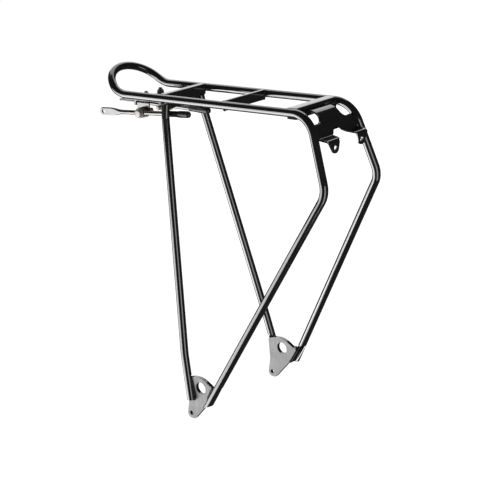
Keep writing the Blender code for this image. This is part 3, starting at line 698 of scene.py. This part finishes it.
def make_crossbars():
    """Three bars coped to the rails: the wide ones hollow boxes, the middle one solid."""
    for name, x, width, height, hollow in BARS:
        low = BAR_TOP - height
        corner = min(width, height) * BAR_CORNER_SHARE
        outline = rounded_outline((
            (x - width / 2, low, corner), (x + width / 2, low, corner),
            (x + width / 2, BAR_TOP, corner), (x - width / 2, BAR_TOP, corner),
        ))
        bar = flat_mesh(name + "_bar", [outline], -BAR_HALF_LENGTH, BAR_HALF_LENGTH, "XZ")
        bar = joined(bar, RAILS)
        if hollow:
            reach = RAIL_Y + 0.01
            bar = joined(bar, box_mesh((x - width / 2 + BAR_WALL, -reach, low + BAR_WALL),
                                       (x + width / 2 - BAR_WALL, reach, BAR_TOP - BAR_WALL)))
        add_piece(name + "_bar", bar, PAINT, "frame", name)


# -------------------- plates

def make_dropouts():
    """Both dropout plates: black edges, and faces lightened with a painted reflection."""
    outline = rounded_outline(DROPOUT_OUTLINE)
    eyelet = circle_outline((0, 0), EYELET_RADIUS)
    opening = circle_outline(LIGHTENING_HOLE, LIGHTENING_RADIUS, 64)
    for side, sign, _, _ in SIDES:
        middle = sign * DROPOUT_Y
        name = side + "_dropout_plate"
        mesh = flat_mesh(name, [outline, eyelet, opening], middle - DROPOUT_THICKNESS / 2,
                         middle + DROPOUT_THICKNESS / 2, "XZ")
        plate = add_piece(name, eased(mesh, 0.00025), PLATE, "frame", side + "_dropout")
        for face in plate.data.polygons:
            # the flat side faces get the painted reflection material, the edges and hole walls the black
            # paint
            face.material_index = 0 if abs(face.normal.y) > 0.9 else 1
        keep_faces_flat(plate)


def lamp_trim_outline():
    """Below the bracket: the outside of both ears and the notch between them."""
    edge = 0.060
    bottom = 0.330
    slope = math.radians(-31)
    half = [(edge, bottom), (edge, 0.3685), (EAR_OUTER, 0.3685), (EAR_OUTER, EAR_OUTER_Z)]
    half += arc_points(LAMP_HOLE, EAR_TIP_RADIUS, slope, -math.pi + 0.35, 24)
    half += [(EAR_INNER, 0.3590), (EAR_INNER, 0.3618)]
    half += arc_points((0, 0.3625), 0.0090, math.radians(25), math.pi / 2, 14)
    return half + [(-y, z) for y, z in half[-2::-1]]


def make_lamp_bracket():
    """One bent sheet between the legs, with a scoop at each side and a hole in each ear."""
    bracket = flat_mesh("lamp_bracket_sheet", [sheet_outline(LAMP_PROFILE, LAMP_SHEET)], -0.042, 0.042, "XZ")
    bracket = joined(bracket, RAILS)
    for sign in (-1, 1):
        scoop = rounded_outline((
            (sign * 0.0195, 0.3795, 0.0080), (sign * 0.0600, 0.3795, 0.0),
            (sign * 0.0600, 0.4050, 0.0), (sign * 0.0165, 0.4050, 0.0),
        ))
        bracket = joined(bracket, flat_mesh("scoop", [scoop], 0.150, 0.195, "YZ"))
        y = sign * LAMP_HOLE[0]
        z = LAMP_HOLE[1]
        bracket = joined(bracket, cylinder_mesh(LAMP_HOLE_RADIUS, (0.195, y, z), (0.215, y, z)))
    bracket = joined(bracket, flat_mesh("lamp_trim", [lamp_trim_outline()], 0.180, 0.220, "YZ"))
    piece = add_piece("lamp_bracket_sheet", eased(bracket), PAINT, "frame", "lamp_bracket", 40.0)
    keep_faces_flat(piece)


def make_front_plates():
    """The bridge plate between the struts and the stay plate with its front lip."""
    half = BRIDGE_HALF_WIDTH
    top = STRUT_TOP
    outline = rounded_outline((
        (-half, BRIDGE_BOTTOM, 0.003), (half, BRIDGE_BOTTOM, 0.003), (half, top, 0.0), (-half, top, 0.0),
    ))
    bridge = flat_mesh("bridge_sheet", [outline], FRONT_BAR_X - SHEET / 2, FRONT_BAR_X + SHEET / 2, "YZ")
    keep_faces_flat(add_piece("bridge_sheet", eased(bridge), PAINT, "frame", "bridge_plate"))

    level = STAY_PLATE_TOP - SHEET / 2
    rear = FRONT_BAR_X - SHEET / 2 - TOUCH
    profile = ((rear, level, 0.0), (STAY_PLATE_FRONT, level, 0.005), (STAY_PLATE_FRONT, STAY_PLATE_LIP, 0.0))
    plate = flat_mesh("stay_plate_sheet", [sheet_outline(profile, SHEET)], -STAY_PLATE_HALF_WIDTH,
                      STAY_PLATE_HALF_WIDTH, "XZ")
    for sign in (-1, 1):
        y = sign * SWIVEL_Y
        hole = cylinder_mesh(SWIVEL_HOLE_RADIUS, (CLAMP_X, y, level - 0.01), (CLAMP_X, y, level + 0.01))
        plate = joined(plate, hole)
    keep_faces_flat(add_piece("stay_plate_sheet", eased(plate, 0.0005), PAINT, "frame", "stay_plate"))


# -------------------- fasteners

def thread_mesh(name, low, high, radius=BOLT_RADIUS):
    """A threaded stem about +Z: the radius follows the helix, and both ends are chamfered."""
    sides = 36
    depth = 0.00055
    steps = max(4, math.ceil((high - low) / (THREAD_PITCH / 8)))
    rings = []
    for i in range(steps + 1):
        height = low + (high - low) * i / steps
        near_end = min(height - low, high - height)
        limit = radius - max(0.0, 0.0006 - near_end)
        ring = []
        for k in range(sides):
            angle = 2 * math.pi * k / sides
            phase = (height / THREAD_PITCH - angle / (2 * math.pi)) % 1.0
            ridge = radius - depth * min(1.0, max(0.0, abs(2 * phase - 1) * 1.25 - 0.125))
            r = min(ridge, limit)
            ring.append((r * math.cos(angle), r * math.sin(angle), height))
        rings.append(ring)
    return loft(name, rings)


def chamfered_hex(name, across_flats, height):
    """A hexagon from 0 to height with its corners turned down at both ends."""
    flat_radius = across_flats / 2
    corner_radius = flat_radius / math.cos(math.pi / 6)
    corners = [(corner_radius * math.cos(math.pi / 3 * i + math.pi / 6),
                corner_radius * math.sin(math.pi / 3 * i + math.pi / 6)) for i in range(6)]
    prism = flat_mesh(name, [corners], 0.0, height, "XY")
    slope = math.tan(math.radians(30))
    land = flat_radius * 0.97
    wide = corner_radius * 1.05
    drop = (wide - land) * slope
    profile = [(land, height), (wide, height - drop), (wide, drop), (land, 0.0)]
    return joined(prism, turned("lens", profile, 96), "INTERSECT")


def bored(mesh, radius, depth):
    """A nut with its hole and broken edges."""
    return eased(joined(mesh, cylinder_mesh(radius, (0, 0, -0.001), (0, 0, depth + 0.001))), 0.00012, 40.0)


def washer_mesh(radius, bore, thickness):
    rim = 0.00022
    profile = [
        (bore, rim), (bore, thickness - rim), (bore + rim, thickness), (radius - rim, thickness),
        (radius, thickness - rim), (radius, rim), (radius - rim, 0.0), (bore + rim, 0.0),
    ]
    return turned("washer", profile, 64, closed_ring=True)


def placed(mesh, matrix):
    mesh.transform(matrix)
    if matrix.determinant() < 0:
        mesh.flip_normals()
    return mesh


def make_swivel(side, sign):
    """The button-head bolt up through angle and stay plate, its washer and its locknut on top."""
    y = sign * SWIVEL_Y
    washer_low = STAY_PLATE_TOP + TOUCH
    nut_low = washer_low + SWIVEL_WASHER_THICKNESS + TOUCH
    head_top = STAY_PLATE_TOP - SHEET - ANGLE_SHEET - 3 * TOUCH
    stem_end = nut_low + LOCKNUT_HEIGHT + SWIVEL_END
    wide = SWIVEL_HEAD_RADIUS
    high = SWIVEL_HEAD_HEIGHT
    angles = [math.pi / 2 * i / 10 for i in range(8)]
    dome = [(wide * math.cos(a), -high * (0.25 + 0.75 * math.sin(a))) for a in angles]
    head = turned("head", [(0.0008, 0.0), (wide - 0.0002, 0.0), (wide, -0.0002)] + dome, 64)
    head = placed(head, Matrix.Translation((CLAMP_X, y, head_top)))
    stem = thread_mesh("stem", head_top - 0.001, stem_end, SWIVEL_RADIUS)
    stem = placed(stem, Matrix.Translation((CLAMP_X, y, 0)))
    bolt = joined(head, stem, "UNION")
    add_piece(side + "_swivel_button_bolt", bolt, FASTENER, "frame", side + "_swivel_bolt")
    washer = washer_mesh(SWIVEL_WASHER_RADIUS, SWIVEL_HOLE_RADIUS, SWIVEL_WASHER_THICKNESS)
    washer = placed(washer, Matrix.Translation((CLAMP_X, y, washer_low)))
    add_piece(side + "_swivel_flat_washer", washer, FASTENER, "frame", side + "_swivel_washer")
    collar = LOCKNUT_COLLAR_RADIUS
    tall = LOCKNUT_HEIGHT
    profile = [(0.001, 0.002), (collar, 0.002), (collar, tall - 0.0007)]
    profile += [(collar - 0.0002, tall - 0.0002), (collar - 0.0007, tall), (0.001, tall)]
    hexagon = chamfered_hex("nut", LOCKNUT_ACROSS_FLATS, LOCKNUT_HEX_HEIGHT)
    nut = joined(hexagon, turned("collar", profile), "UNION")
    nut = placed(bored(nut, SWIVEL_HOLE_RADIUS, LOCKNUT_HEIGHT), Matrix.Translation((CLAMP_X, y, nut_low)))
    add_piece(side + "_swivel_locknut", nut, FASTENER, "frame", side + "_swivel_nut")


def end_cutter(center, sign=1):
    """What lies outside an angle leg's round end, whose centre is at CLAMP_X and this height or y."""
    reach = ANGLE_HALF_WIDTH + 0.004
    outline = [(CLAMP_X - reach, center - reach), (CLAMP_X - reach, center)]
    outline += arc_points((CLAMP_X, center), ANGLE_HALF_WIDTH, math.pi, 2 * math.pi, 40)
    outline += [(CLAMP_X + reach, center), (CLAMP_X + reach, center - reach)]
    return [(u, sign * v) for u, v in outline]


def make_angle(side, sign):
    """An angle of sheet: one leg turns on the swivel bolt, the other carries the clamp bolt."""
    name = side + "_angle_sheet"
    top = STAY_PLATE_TOP - SHEET - GAP - ANGLE_SHEET / 2
    face = sign * (ANGLE_OUTER_Y - ANGLE_SHEET / 2)
    tip = ANGLE_TIP_Z - ANGLE_HALF_WIDTH
    inner_end = sign * (SWIVEL_Y - ANGLE_HALF_WIDTH)
    profile = ((inner_end, top, 0.0), (face, top, 0.0015), (face, tip, 0.0))
    angle = flat_mesh(name, [sheet_outline(profile, ANGLE_SHEET)], CLAMP_X - ANGLE_HALF_WIDTH,
                      CLAMP_X + ANGLE_HALF_WIDTH, "YZ")
    leg_end = flat_mesh("leg_end", [end_cutter(SWIVEL_Y, sign)], top - 0.004, top + 0.004, "XY")
    angle = joined(angle, leg_end)
    levels = sorted((sign * 0.016, sign * 0.023))
    tip_end = flat_mesh("tip_end", [end_cutter(ANGLE_TIP_Z)], levels[0], levels[1], "XZ")
    angle = joined(angle, tip_end)
    y = sign * SWIVEL_Y
    swivel_hole = cylinder_mesh(SWIVEL_HOLE_RADIUS, (CLAMP_X, y, top - 0.005), (CLAMP_X, y, top + 0.005))
    angle = joined(angle, swivel_hole)
    inside = (CLAMP_X, sign * 0.015, CLAMP_Z)
    outside = (CLAMP_X, sign * 0.024, CLAMP_Z)
    angle = joined(angle, cylinder_mesh(BOLT_HOLE_RADIUS, inside, outside))
    piece = add_piece(name, eased(angle, 0.0003), ANGLE, side + "_swivel", side + "_stay_angle")
    keep_faces_flat(piece)


def clamp_frame(sign, pitch):
    """From the clamp's own frame (x along the rod, z out from the rack's middle) to the rack's."""
    turn = Matrix.Rotation(-pitch, 4, "Y")
    outwards = Matrix(((1, 0, 0, 0), (0, 0, sign, 0), (0, -sign, 0, 0), (0, 0, 0, 1)))
    return Matrix.Translation((CLAMP_X, sign * ROD_Y, CLAMP_Z)) @ turn @ outwards


def make_clamp(side, sign, pitch):
    """The cross-drilled clamp bolt with its sleeve, washer and nut."""
    body = side + "_clamp"
    place = clamp_frame(sign, pitch)
    rod_hole = cylinder_mesh(ROD_RADIUS + TOUCH, (-0.012, 0, 0), (0.012, 0, 0))
    sleeve_low = ANGLE_OUTER_Y + GAP - ROD_Y
    sleeve_top = SLEEVE_OUTER_Y - ROD_Y
    rim = 0.0004
    profile = [
        (SLEEVE_BORE, sleeve_low), (SLEEVE_BORE, sleeve_top), (SLEEVE_RADIUS - rim, sleeve_top),
        (SLEEVE_RADIUS, sleeve_top - rim), (SLEEVE_RADIUS, sleeve_low + rim),
        (SLEEVE_RADIUS - rim, sleeve_low),
    ]
    sleeve = joined(turned("sleeve", profile, 64, closed_ring=True), rod_hole)
    sleeve = placed(eased(sleeve, 0.0002), place)
    add_piece(side + "_clamp_spacer", sleeve, FASTENER, body, side + "_clamp_sleeve")

    head_low = sleeve_top + TOUCH
    head_top = head_low + CLAMP_HEAD_HEIGHT
    head, neck = CLAMP_HEAD_RADIUS, NECK_RADIUS
    neck_low = sleeve_low + NECK_RECESS
    profile = [
        (0.0012, head_top + 0.0002), (head * 0.55, head_top + 0.0001), (head - 0.0009, head_top - 0.0001),
        (head - 0.0003, head_top - 0.0005), (head, head_top - 0.0011), (head, head_low + 0.0003),
        (head - 0.0003, head_low), (neck, head_low), (neck, sleeve_low + 0.0011),
        (neck - 0.0003, neck_low), (0.0024, neck_low),
    ]
    bolt = joined(turned("head", profile, 64), rod_hole)
    stem = thread_mesh("stem", BOLT_INNER_Y - ROD_Y, sleeve_low + 0.0016)
    bolt = joined(bolt, stem, "UNION")
    add_piece(side + "_clamp_eye_bolt", placed(bolt, place), FASTENER, body, side + "_clamp_bolt")

    washer_top = ANGLE_OUTER_Y - ANGLE_SHEET - GAP - ROD_Y
    washer_low = washer_top - WASHER_THICKNESS
    nut_low = washer_low - TOUCH - NUT_HEIGHT
    washer = washer_mesh(WASHER_RADIUS, BOLT_HOLE_RADIUS, WASHER_THICKNESS)
    washer = placed(washer, place @ Matrix.Translation((0, 0, washer_low)))
    add_piece(side + "_clamp_flat_washer", washer, FASTENER, body, side + "_clamp_washer")
    nut = bored(chamfered_hex("nut", NUT_ACROSS_FLATS, NUT_HEIGHT), BOLT_HOLE_RADIUS, NUT_HEIGHT)
    nut = placed(nut, place @ Matrix.Translation((0, 0, nut_low)))
    add_piece(side + "_clamp_hex_nut", nut, FASTENER, body, side + "_clamp_nut")


def rod_section(x):
    """Half thickness and half height of the rod at a distance x behind its flattened tip."""
    flat = (ROD_FLAT_HALF_THICKNESS, ROD_FLAT_HALF_HEIGHT)
    if x < ROD_FLAT_HALF_HEIGHT:
        offset = ROD_FLAT_HALF_HEIGHT - x
        return flat[0], max(math.sqrt(flat[1] ** 2 - offset ** 2), 0.0006)
    if x <= ROD_FLAT_LENGTH:
        return flat
    share = min((x - ROD_FLAT_LENGTH) / ROD_TAPER_LENGTH, 1.0)
    share = share * share * (3 - 2 * share)
    return tuple(a + (ROD_RADIUS - a) * share for a in flat)


def make_rod(side, sign, tip, pitch):
    """A steel rod with one end pressed flat and drilled, lofted from its changing sections."""
    tip_steps = 14
    taper_steps = 24
    stations = [ROD_FLAT_HALF_HEIGHT * (1 - math.cos(math.pi / 2 * i / tip_steps)) for i in range(tip_steps)]
    stations += [ROD_FLAT_HALF_HEIGHT, ROD_FLAT_LENGTH]
    stations += [ROD_FLAT_LENGTH + ROD_TAPER_LENGTH * (i + 1) / taper_steps for i in range(taper_steps)]
    stations += [ROD_LENGTH - ROD_CHAMFER, ROD_LENGTH]
    sides = 48
    rings = []
    for x in stations:
        thick, high = rod_section(x)
        if x == ROD_LENGTH:
            thick -= ROD_CHAMFER
            high -= ROD_CHAMFER
        roundness = 2.0 + 2.5 * (ROD_RADIUS - thick) / (ROD_RADIUS - ROD_FLAT_HALF_THICKNESS)
        ring = []
        for c, s in around(sides, 0.5):
            across = math.copysign(abs(c) ** (2 / roundness), c)
            up = math.copysign(abs(s) ** (2 / roundness), s)
            ring.append((x - tip, high * up, thick * across))
        rings.append(ring)
    hole_x = ROD_HOLE_FROM_TIP - tip
    rod = joined(loft("rod", rings), cylinder_mesh(ROD_HOLE_RADIUS, (hole_x, 0, -0.006), (hole_x, 0, 0.006)))
    rod = placed(rod, clamp_frame(sign, pitch) @ Matrix.Rotation(ROD_TURN[side], 4, "X"))
    add_piece(side + "_rod_drawn", rod, ROD, side + "_stay", side + "_stay_rod")


def make_cap(side, sign, tip, pitch):
    """The vinyl cap pushed over the rod's rear end."""
    bore = ROD_RADIUS + TOUCH
    inner_end = CAP_LENGTH - CAP_WALL_END
    nose = CAP_LENGTH - CAP_RADIUS
    rim = 0.0003
    neck = CAP_NECK_RADIUS
    profile = [(0.0004, inner_end), (bore, inner_end), (bore, rim), (bore + rim, 0.0), (neck, 0.0)]
    profile += [(neck + rim / 2, rim), (neck + rim / 2, 0.0016), (neck, 0.0022), (neck, 0.0110)]
    swell_steps = 10
    for i in range(1, swell_steps + 1):
        share = i / swell_steps
        eased_share = share * share * (3 - 2 * share)
        radius = neck + (CAP_RADIUS - neck) * eased_share
        profile.append((radius, 0.0110 + 0.0065 * share))
    profile += [(r, nose + h) for r, h in arc_points((0, 0), CAP_RADIUS, 0, math.pi / 2 - 0.08, 14)]
    cap = turned("cap", profile, 64)
    rear = ROD_LENGTH - tip - inner_end + GAP
    along = Matrix.Translation((rear, 0, 0)) @ Matrix.Rotation(math.pi / 2, 4, "Y")
    cap = placed(cap, clamp_frame(sign, pitch) @ along)
    add_piece(side + "_cap_vinyl", cap, CAP, side + "_stay", side + "_end_cap")


# -------------------- weld beads

def bead(name, points, radius):
    """One weld: overlapping ripples along a path, thinning out at both ends."""
    path = evenly(points, BEAD_PITCH / 6)
    length = sum((b - a).length for a, b in zip(path, path[1:]))
    radii = []
    run = 0.0
    for i, point in enumerate(path):
        if i:
            run += (point - path[i - 1]).length
        ripple = 0.80 + 0.20 * abs(math.cos(math.pi * run / BEAD_PITCH))
        taper = min(1.0, 0.25 + min(run, length - run) / (2.2 * radius))
        wander = 1.0 + 0.05 * math.sin(run * 911.0 + len(name))
        radii.append(radius * ripple * taper * wander)
    add_piece(name, loft(name, rings_along(path, radii, BEAD_SIDES)), WELD, "frame", smooth_angle=80.0)


def rail_touch(z):
    """Where a level line at height z meets the inner side of a rail."""
    drop = min(abs(z - RAIL_Z), TUBE_RADIUS)
    return RAIL_Y - math.sqrt(TUBE_RADIUS ** 2 - drop ** 2)


def weld_crossbars():
    """Beads down both faces and along the underside of each bar's ends."""
    for name, x, width, height, _ in BARS:
        for side, sign, _, _ in SIDES:
            low = max(BAR_TOP - height, RAIL_Z - TUBE_RADIUS + 0.0004)
            levels = [BAR_TOP - 0.0008 + (low - BAR_TOP + 0.0008) * i / 10 for i in range(11)]
            for edge, face in (("front", -1), ("rear", 1)):
                points = [Vector((x + face * width / 2, sign * (rail_touch(z) - 0.0003), z)) for z in levels]
                bead(f"{name}_{side}_weld_{edge}", points, BAR_BEAD)
            under_y = sign * 0.0362
            under_z = BAR_TOP - height + 0.0005
            under = [Vector((x + width * (i / 8 - 0.5), under_y, under_z)) for i in range(9)]
            bead(f"{name}_{side}_weld_below", under, BAR_BEAD)


def weld_strut_tops():
    """A bead round each strut's top and down each end of the bridge plate."""
    for side, sign, _, _ in SIDES:
        circle = []
        for i in range(33):
            angle = 2 * math.pi * i / 32
            circle.append(Vector((FRONT_BAR_X + 0.0049 * math.cos(angle),
                                  sign * STRUT_TOP_Y + 0.0049 * math.sin(angle), STRUT_TOP)))
        bead(side + "_strut_top_weld", circle, BAR_BEAD)
        corner = [Vector((FRONT_BAR_X, sign * BRIDGE_HALF_WIDTH, z)) for z in (BRIDGE_BOTTOM, STRUT_TOP)]
        for edge, face in (("front", -1), ("rear", 1)):
            shifted = [p + Vector((face * SHEET / 2, 0, 0)) for p in corner]
            bead(f"{side}_bridge_weld_{edge}", shifted, BAR_BEAD)


def weld_front_plates():
    """Beads where the stay plate meets the bridge plate, and the bridge plate the front cross-bar."""
    half = STAY_PLATE_HALF_WIDTH
    front_x = FRONT_BAR_X - SHEET / 2
    for edge, z in (("above", STAY_PLATE_TOP), ("below", STAY_PLATE_TOP - SHEET)):
        bead(f"stay_plate_weld_{edge}", [Vector((front_x, -half, z)), Vector((front_x, half, z))], PLATE_BEAD)
    rear_x = FRONT_BAR_X + SHEET / 2
    half = BRIDGE_HALF_WIDTH - 0.001
    ends = [Vector((rear_x, -half, STRUT_TOP)), Vector((rear_x, half, STRUT_TOP))]
    bead("bridge_weld_rear", ends, PLATE_BEAD)


def hoop_distance(point):
    """Distance from a point to the hoop's centre line."""
    best = 1.0
    for a, b in zip(HOOP, HOOP[1:]):
        step = b - a
        share = max(0.0, min(1.0, (point - a).dot(step) / step.length_squared))
        best = min(best, (a + step * share - point).length)
    return best


def hoop_touch_y(x, z):
    """Inner y at which a line along y at (x, z) meets the right side of the hoop, by halving."""
    low = 0.020
    high = 0.0
    for i in range(21, 60):
        high = i / 1000
        if hoop_distance(Vector((x, high, z))) < TUBE_RADIUS:
            break
        low = high
    for _ in range(12):
        middle = (low + high) / 2
        if hoop_distance(Vector((x, middle, z))) < TUBE_RADIUS:
            high = middle
        else:
            low = middle
    return (low + high) / 2


def weld_lamp_bracket():
    """Beads down both sides of the bracket, along the tube, and along the rear cross-bar."""
    side_run = [p for p in evenly(center_line(LAMP_PROFILE), 0.0012) if 0.3650 < p.y < 0.3792]
    touches = [(p.x, hoop_touch_y(p.x, p.y), p.y) for p in side_run]
    for side, sign, _, _ in SIDES:
        for edge, face in (("front", -1), ("rear", 1)):
            shift = Vector((face * LAMP_SHEET * 0.45, 0, face * LAMP_SHEET * 0.25))
            points = [Vector((x, sign * y, z)) + shift for x, y, z in touches]
            bead(f"{side}_lamp_weld_{edge}", points, PLATE_BEAD)
    bar_rear = REAR_BAR_X + REAR_BAR_WIDTH / 2
    half = 0.0155
    for edge, z in (("above", 0.3920), ("below", 0.3898)):
        bead(f"lamp_bar_weld_{edge}", [Vector((bar_rear, -half, z)), Vector((bar_rear, half, z))], THIN_BEAD)


def weld_dropouts():
    """Beads beside each tube end on the outer face of its plate, and along the plate's edge to the leg."""
    edge_low, edge_high = (Vector((x, 0, z)) for x, z, _ in DROPOUT_OUTLINE[2:4])
    for side, sign, _, _ in SIDES:
        face = DROPOUT_Y + DROPOUT_THICKNESS / 2 + GAP
        for tube, low, high, skip, length, shifts in (
                ("strut", Vector(STRUT_END), Vector(STRUT_LOW_BEND), 0.0, 0.0320, (-0.0040, 0.0052)),
                ("leg", Vector(LEG_END), Vector(KNEE), 0.0085, 0.0220, (-0.0050, -0.0070))):
            along = (high - low).normalized()
            across = Vector((along.z, 0, -along.x)).normalized()
            low = low + along * skip
            for number, shift in enumerate(shifts):
                points = [low + across * shift + along * (length * i / 12) for i in range(13)]
                points = [Vector((p.x, sign * face, p.z)) for p in points]
                bead(f"{side}_{tube}_dropout_weld_{number}", points, STRUT_BEAD if shift > 0 else LEG_BEAD)
        end = [Vector(STRUT_END) + Vector((0.0043 * (i / 4 - 1), 0, -0.0004)) for i in range(9)]
        end = [Vector((p.x, sign * face, p.z)) for p in end]
        bead(f"{side}_strut_dropout_weld_end", end, STRUT_END_BEAD)
        outward = Vector((edge_high.z - edge_low.z, 0, edge_low.x - edge_high.x)).normalized() * 0.0012
        seam = [edge_low.lerp(edge_high, i / 12) + outward for i in range(13)]
        seam_y = sign * (DROPOUT_Y + 0.0006)
        bead(f"{side}_leg_seam", [Vector((p.x, seam_y, p.z)) for p in seam], SEAM_BEAD)


# -------------------- studio and camera

def make_floor():
    """A pale floor just below the rack, kept out of reflections."""
    low, _ = CAD_BOX
    mesh = bpy.data.meshes.new("floor")
    edit = bmesh.new()
    bmesh.ops.create_grid(edit, x_segments=1, y_segments=1, size=20.0)
    edit.to_mesh(mesh)
    edit.free()
    floor = linked("floor", mesh)
    floor.location = (0, 0, low.z - 0.0005)
    floor.visible_glossy = False
    floor.visible_shadow = False
    material = new_material("pale_floor", (0.40, 0.40, 0.40), 0.9, 0.0)
    shader = material.node_tree.nodes["Principled BSDF"]
    shader.inputs["Specular IOR Level"].default_value = 0.0
    shader.inputs["Emission Color"].default_value = (1.0, 1.0, 1.0, 1.0)
    shader.inputs["Emission Strength"].default_value = 1.0
    mesh.materials.append(material)


def add_panel(name, direction, distance, size, radiance):
    """A soft rectangular light that faces the rack, set by its direction, size and brightness."""
    light = bpy.data.lights.new(name, "AREA")
    light.shape = "RECTANGLE"
    light.size, light.size_y = size
    light.energy = radiance * math.pi * size[0] * size[1]
    panel = linked(name, light)
    toward = Vector(direction).normalized()
    panel.location = CAMERA_TARGET + toward * distance
    panel.rotation_euler = toward.to_track_quat("Z", "Y").to_euler()
    panel.visible_camera = False


def make_lights():
    """Four soft boxes, unseen by the camera, and a faint white world."""
    add_panel("left_wall", (-0.68, -0.76, -0.30), 1.5, (1.7, 1.1), 3.0)
    add_panel("low_left", (-0.64, -0.54, -0.64), 1.5, (1.05, 0.85), 2.0)
    add_panel("behind", (-0.60, 0.66, 0.62), 1.8, (1.8, 2.2), 1.0)
    add_panel("right_front", (0.93, -0.36, -0.28), 1.5, (0.9, 1.8), 1.3)
    world = bpy.data.worlds.new("studio")
    bpy.context.scene.world = world
    world.use_nodes = True
    background = world.node_tree.nodes["Background"]
    background.inputs["Color"].default_value = (1.0, 1.0, 1.0, 1.0)
    background.inputs["Strength"].default_value = 0.03


def make_camera():
    """The camera from its azimuth, elevation, roll and distance."""
    a = CAMERA_AZIMUTH
    e = CAMERA_ELEVATION
    back = Vector((math.sin(a) * math.cos(e), -math.cos(a) * math.cos(e), math.sin(e)))
    right = Vector((math.cos(a), math.sin(a), 0.0))
    up = back.cross(right)
    rolled_right = right * math.cos(CAMERA_ROLL) + up * math.sin(CAMERA_ROLL)
    rolled_up = up * math.cos(CAMERA_ROLL) - right * math.sin(CAMERA_ROLL)
    turn = Matrix((rolled_right, rolled_up, back)).transposed()
    data = bpy.data.cameras.new("camera")
    data.lens = CAMERA_LENS
    data.sensor_width = 36.0
    data.clip_end = 60.0
    camera = linked("camera", data)
    camera.matrix_world = Matrix.Translation(CAMERA_TARGET + back * CAMERA_DISTANCE) @ turn.to_4x4()
    bpy.context.scene.camera = camera


HOOP = hoop_path()
RAILS = loft("rails", rings_along(HOOP, [TUBE_RADIUS + TOUCH] * len(HOOP), TUBE_SIDES))
make_camera()
make_tubes()
make_crossbars()
make_dropouts()
make_lamp_bracket()
make_front_plates()
for side_name, side_sign, rod_tip, rod_pitch in SIDES:
    make_swivel(side_name, side_sign)
    make_angle(side_name, side_sign)
    make_clamp(side_name, side_sign, rod_pitch)
    make_rod(side_name, side_sign, rod_tip, rod_pitch)
    make_cap(side_name, side_sign, rod_tip, rod_pitch)
weld_crossbars()
weld_strut_tops()
weld_front_plates()
weld_lamp_bracket()
weld_dropouts()
make_floor()
make_lights()
bpy.context.scene.view_settings.view_transform = "Standard"
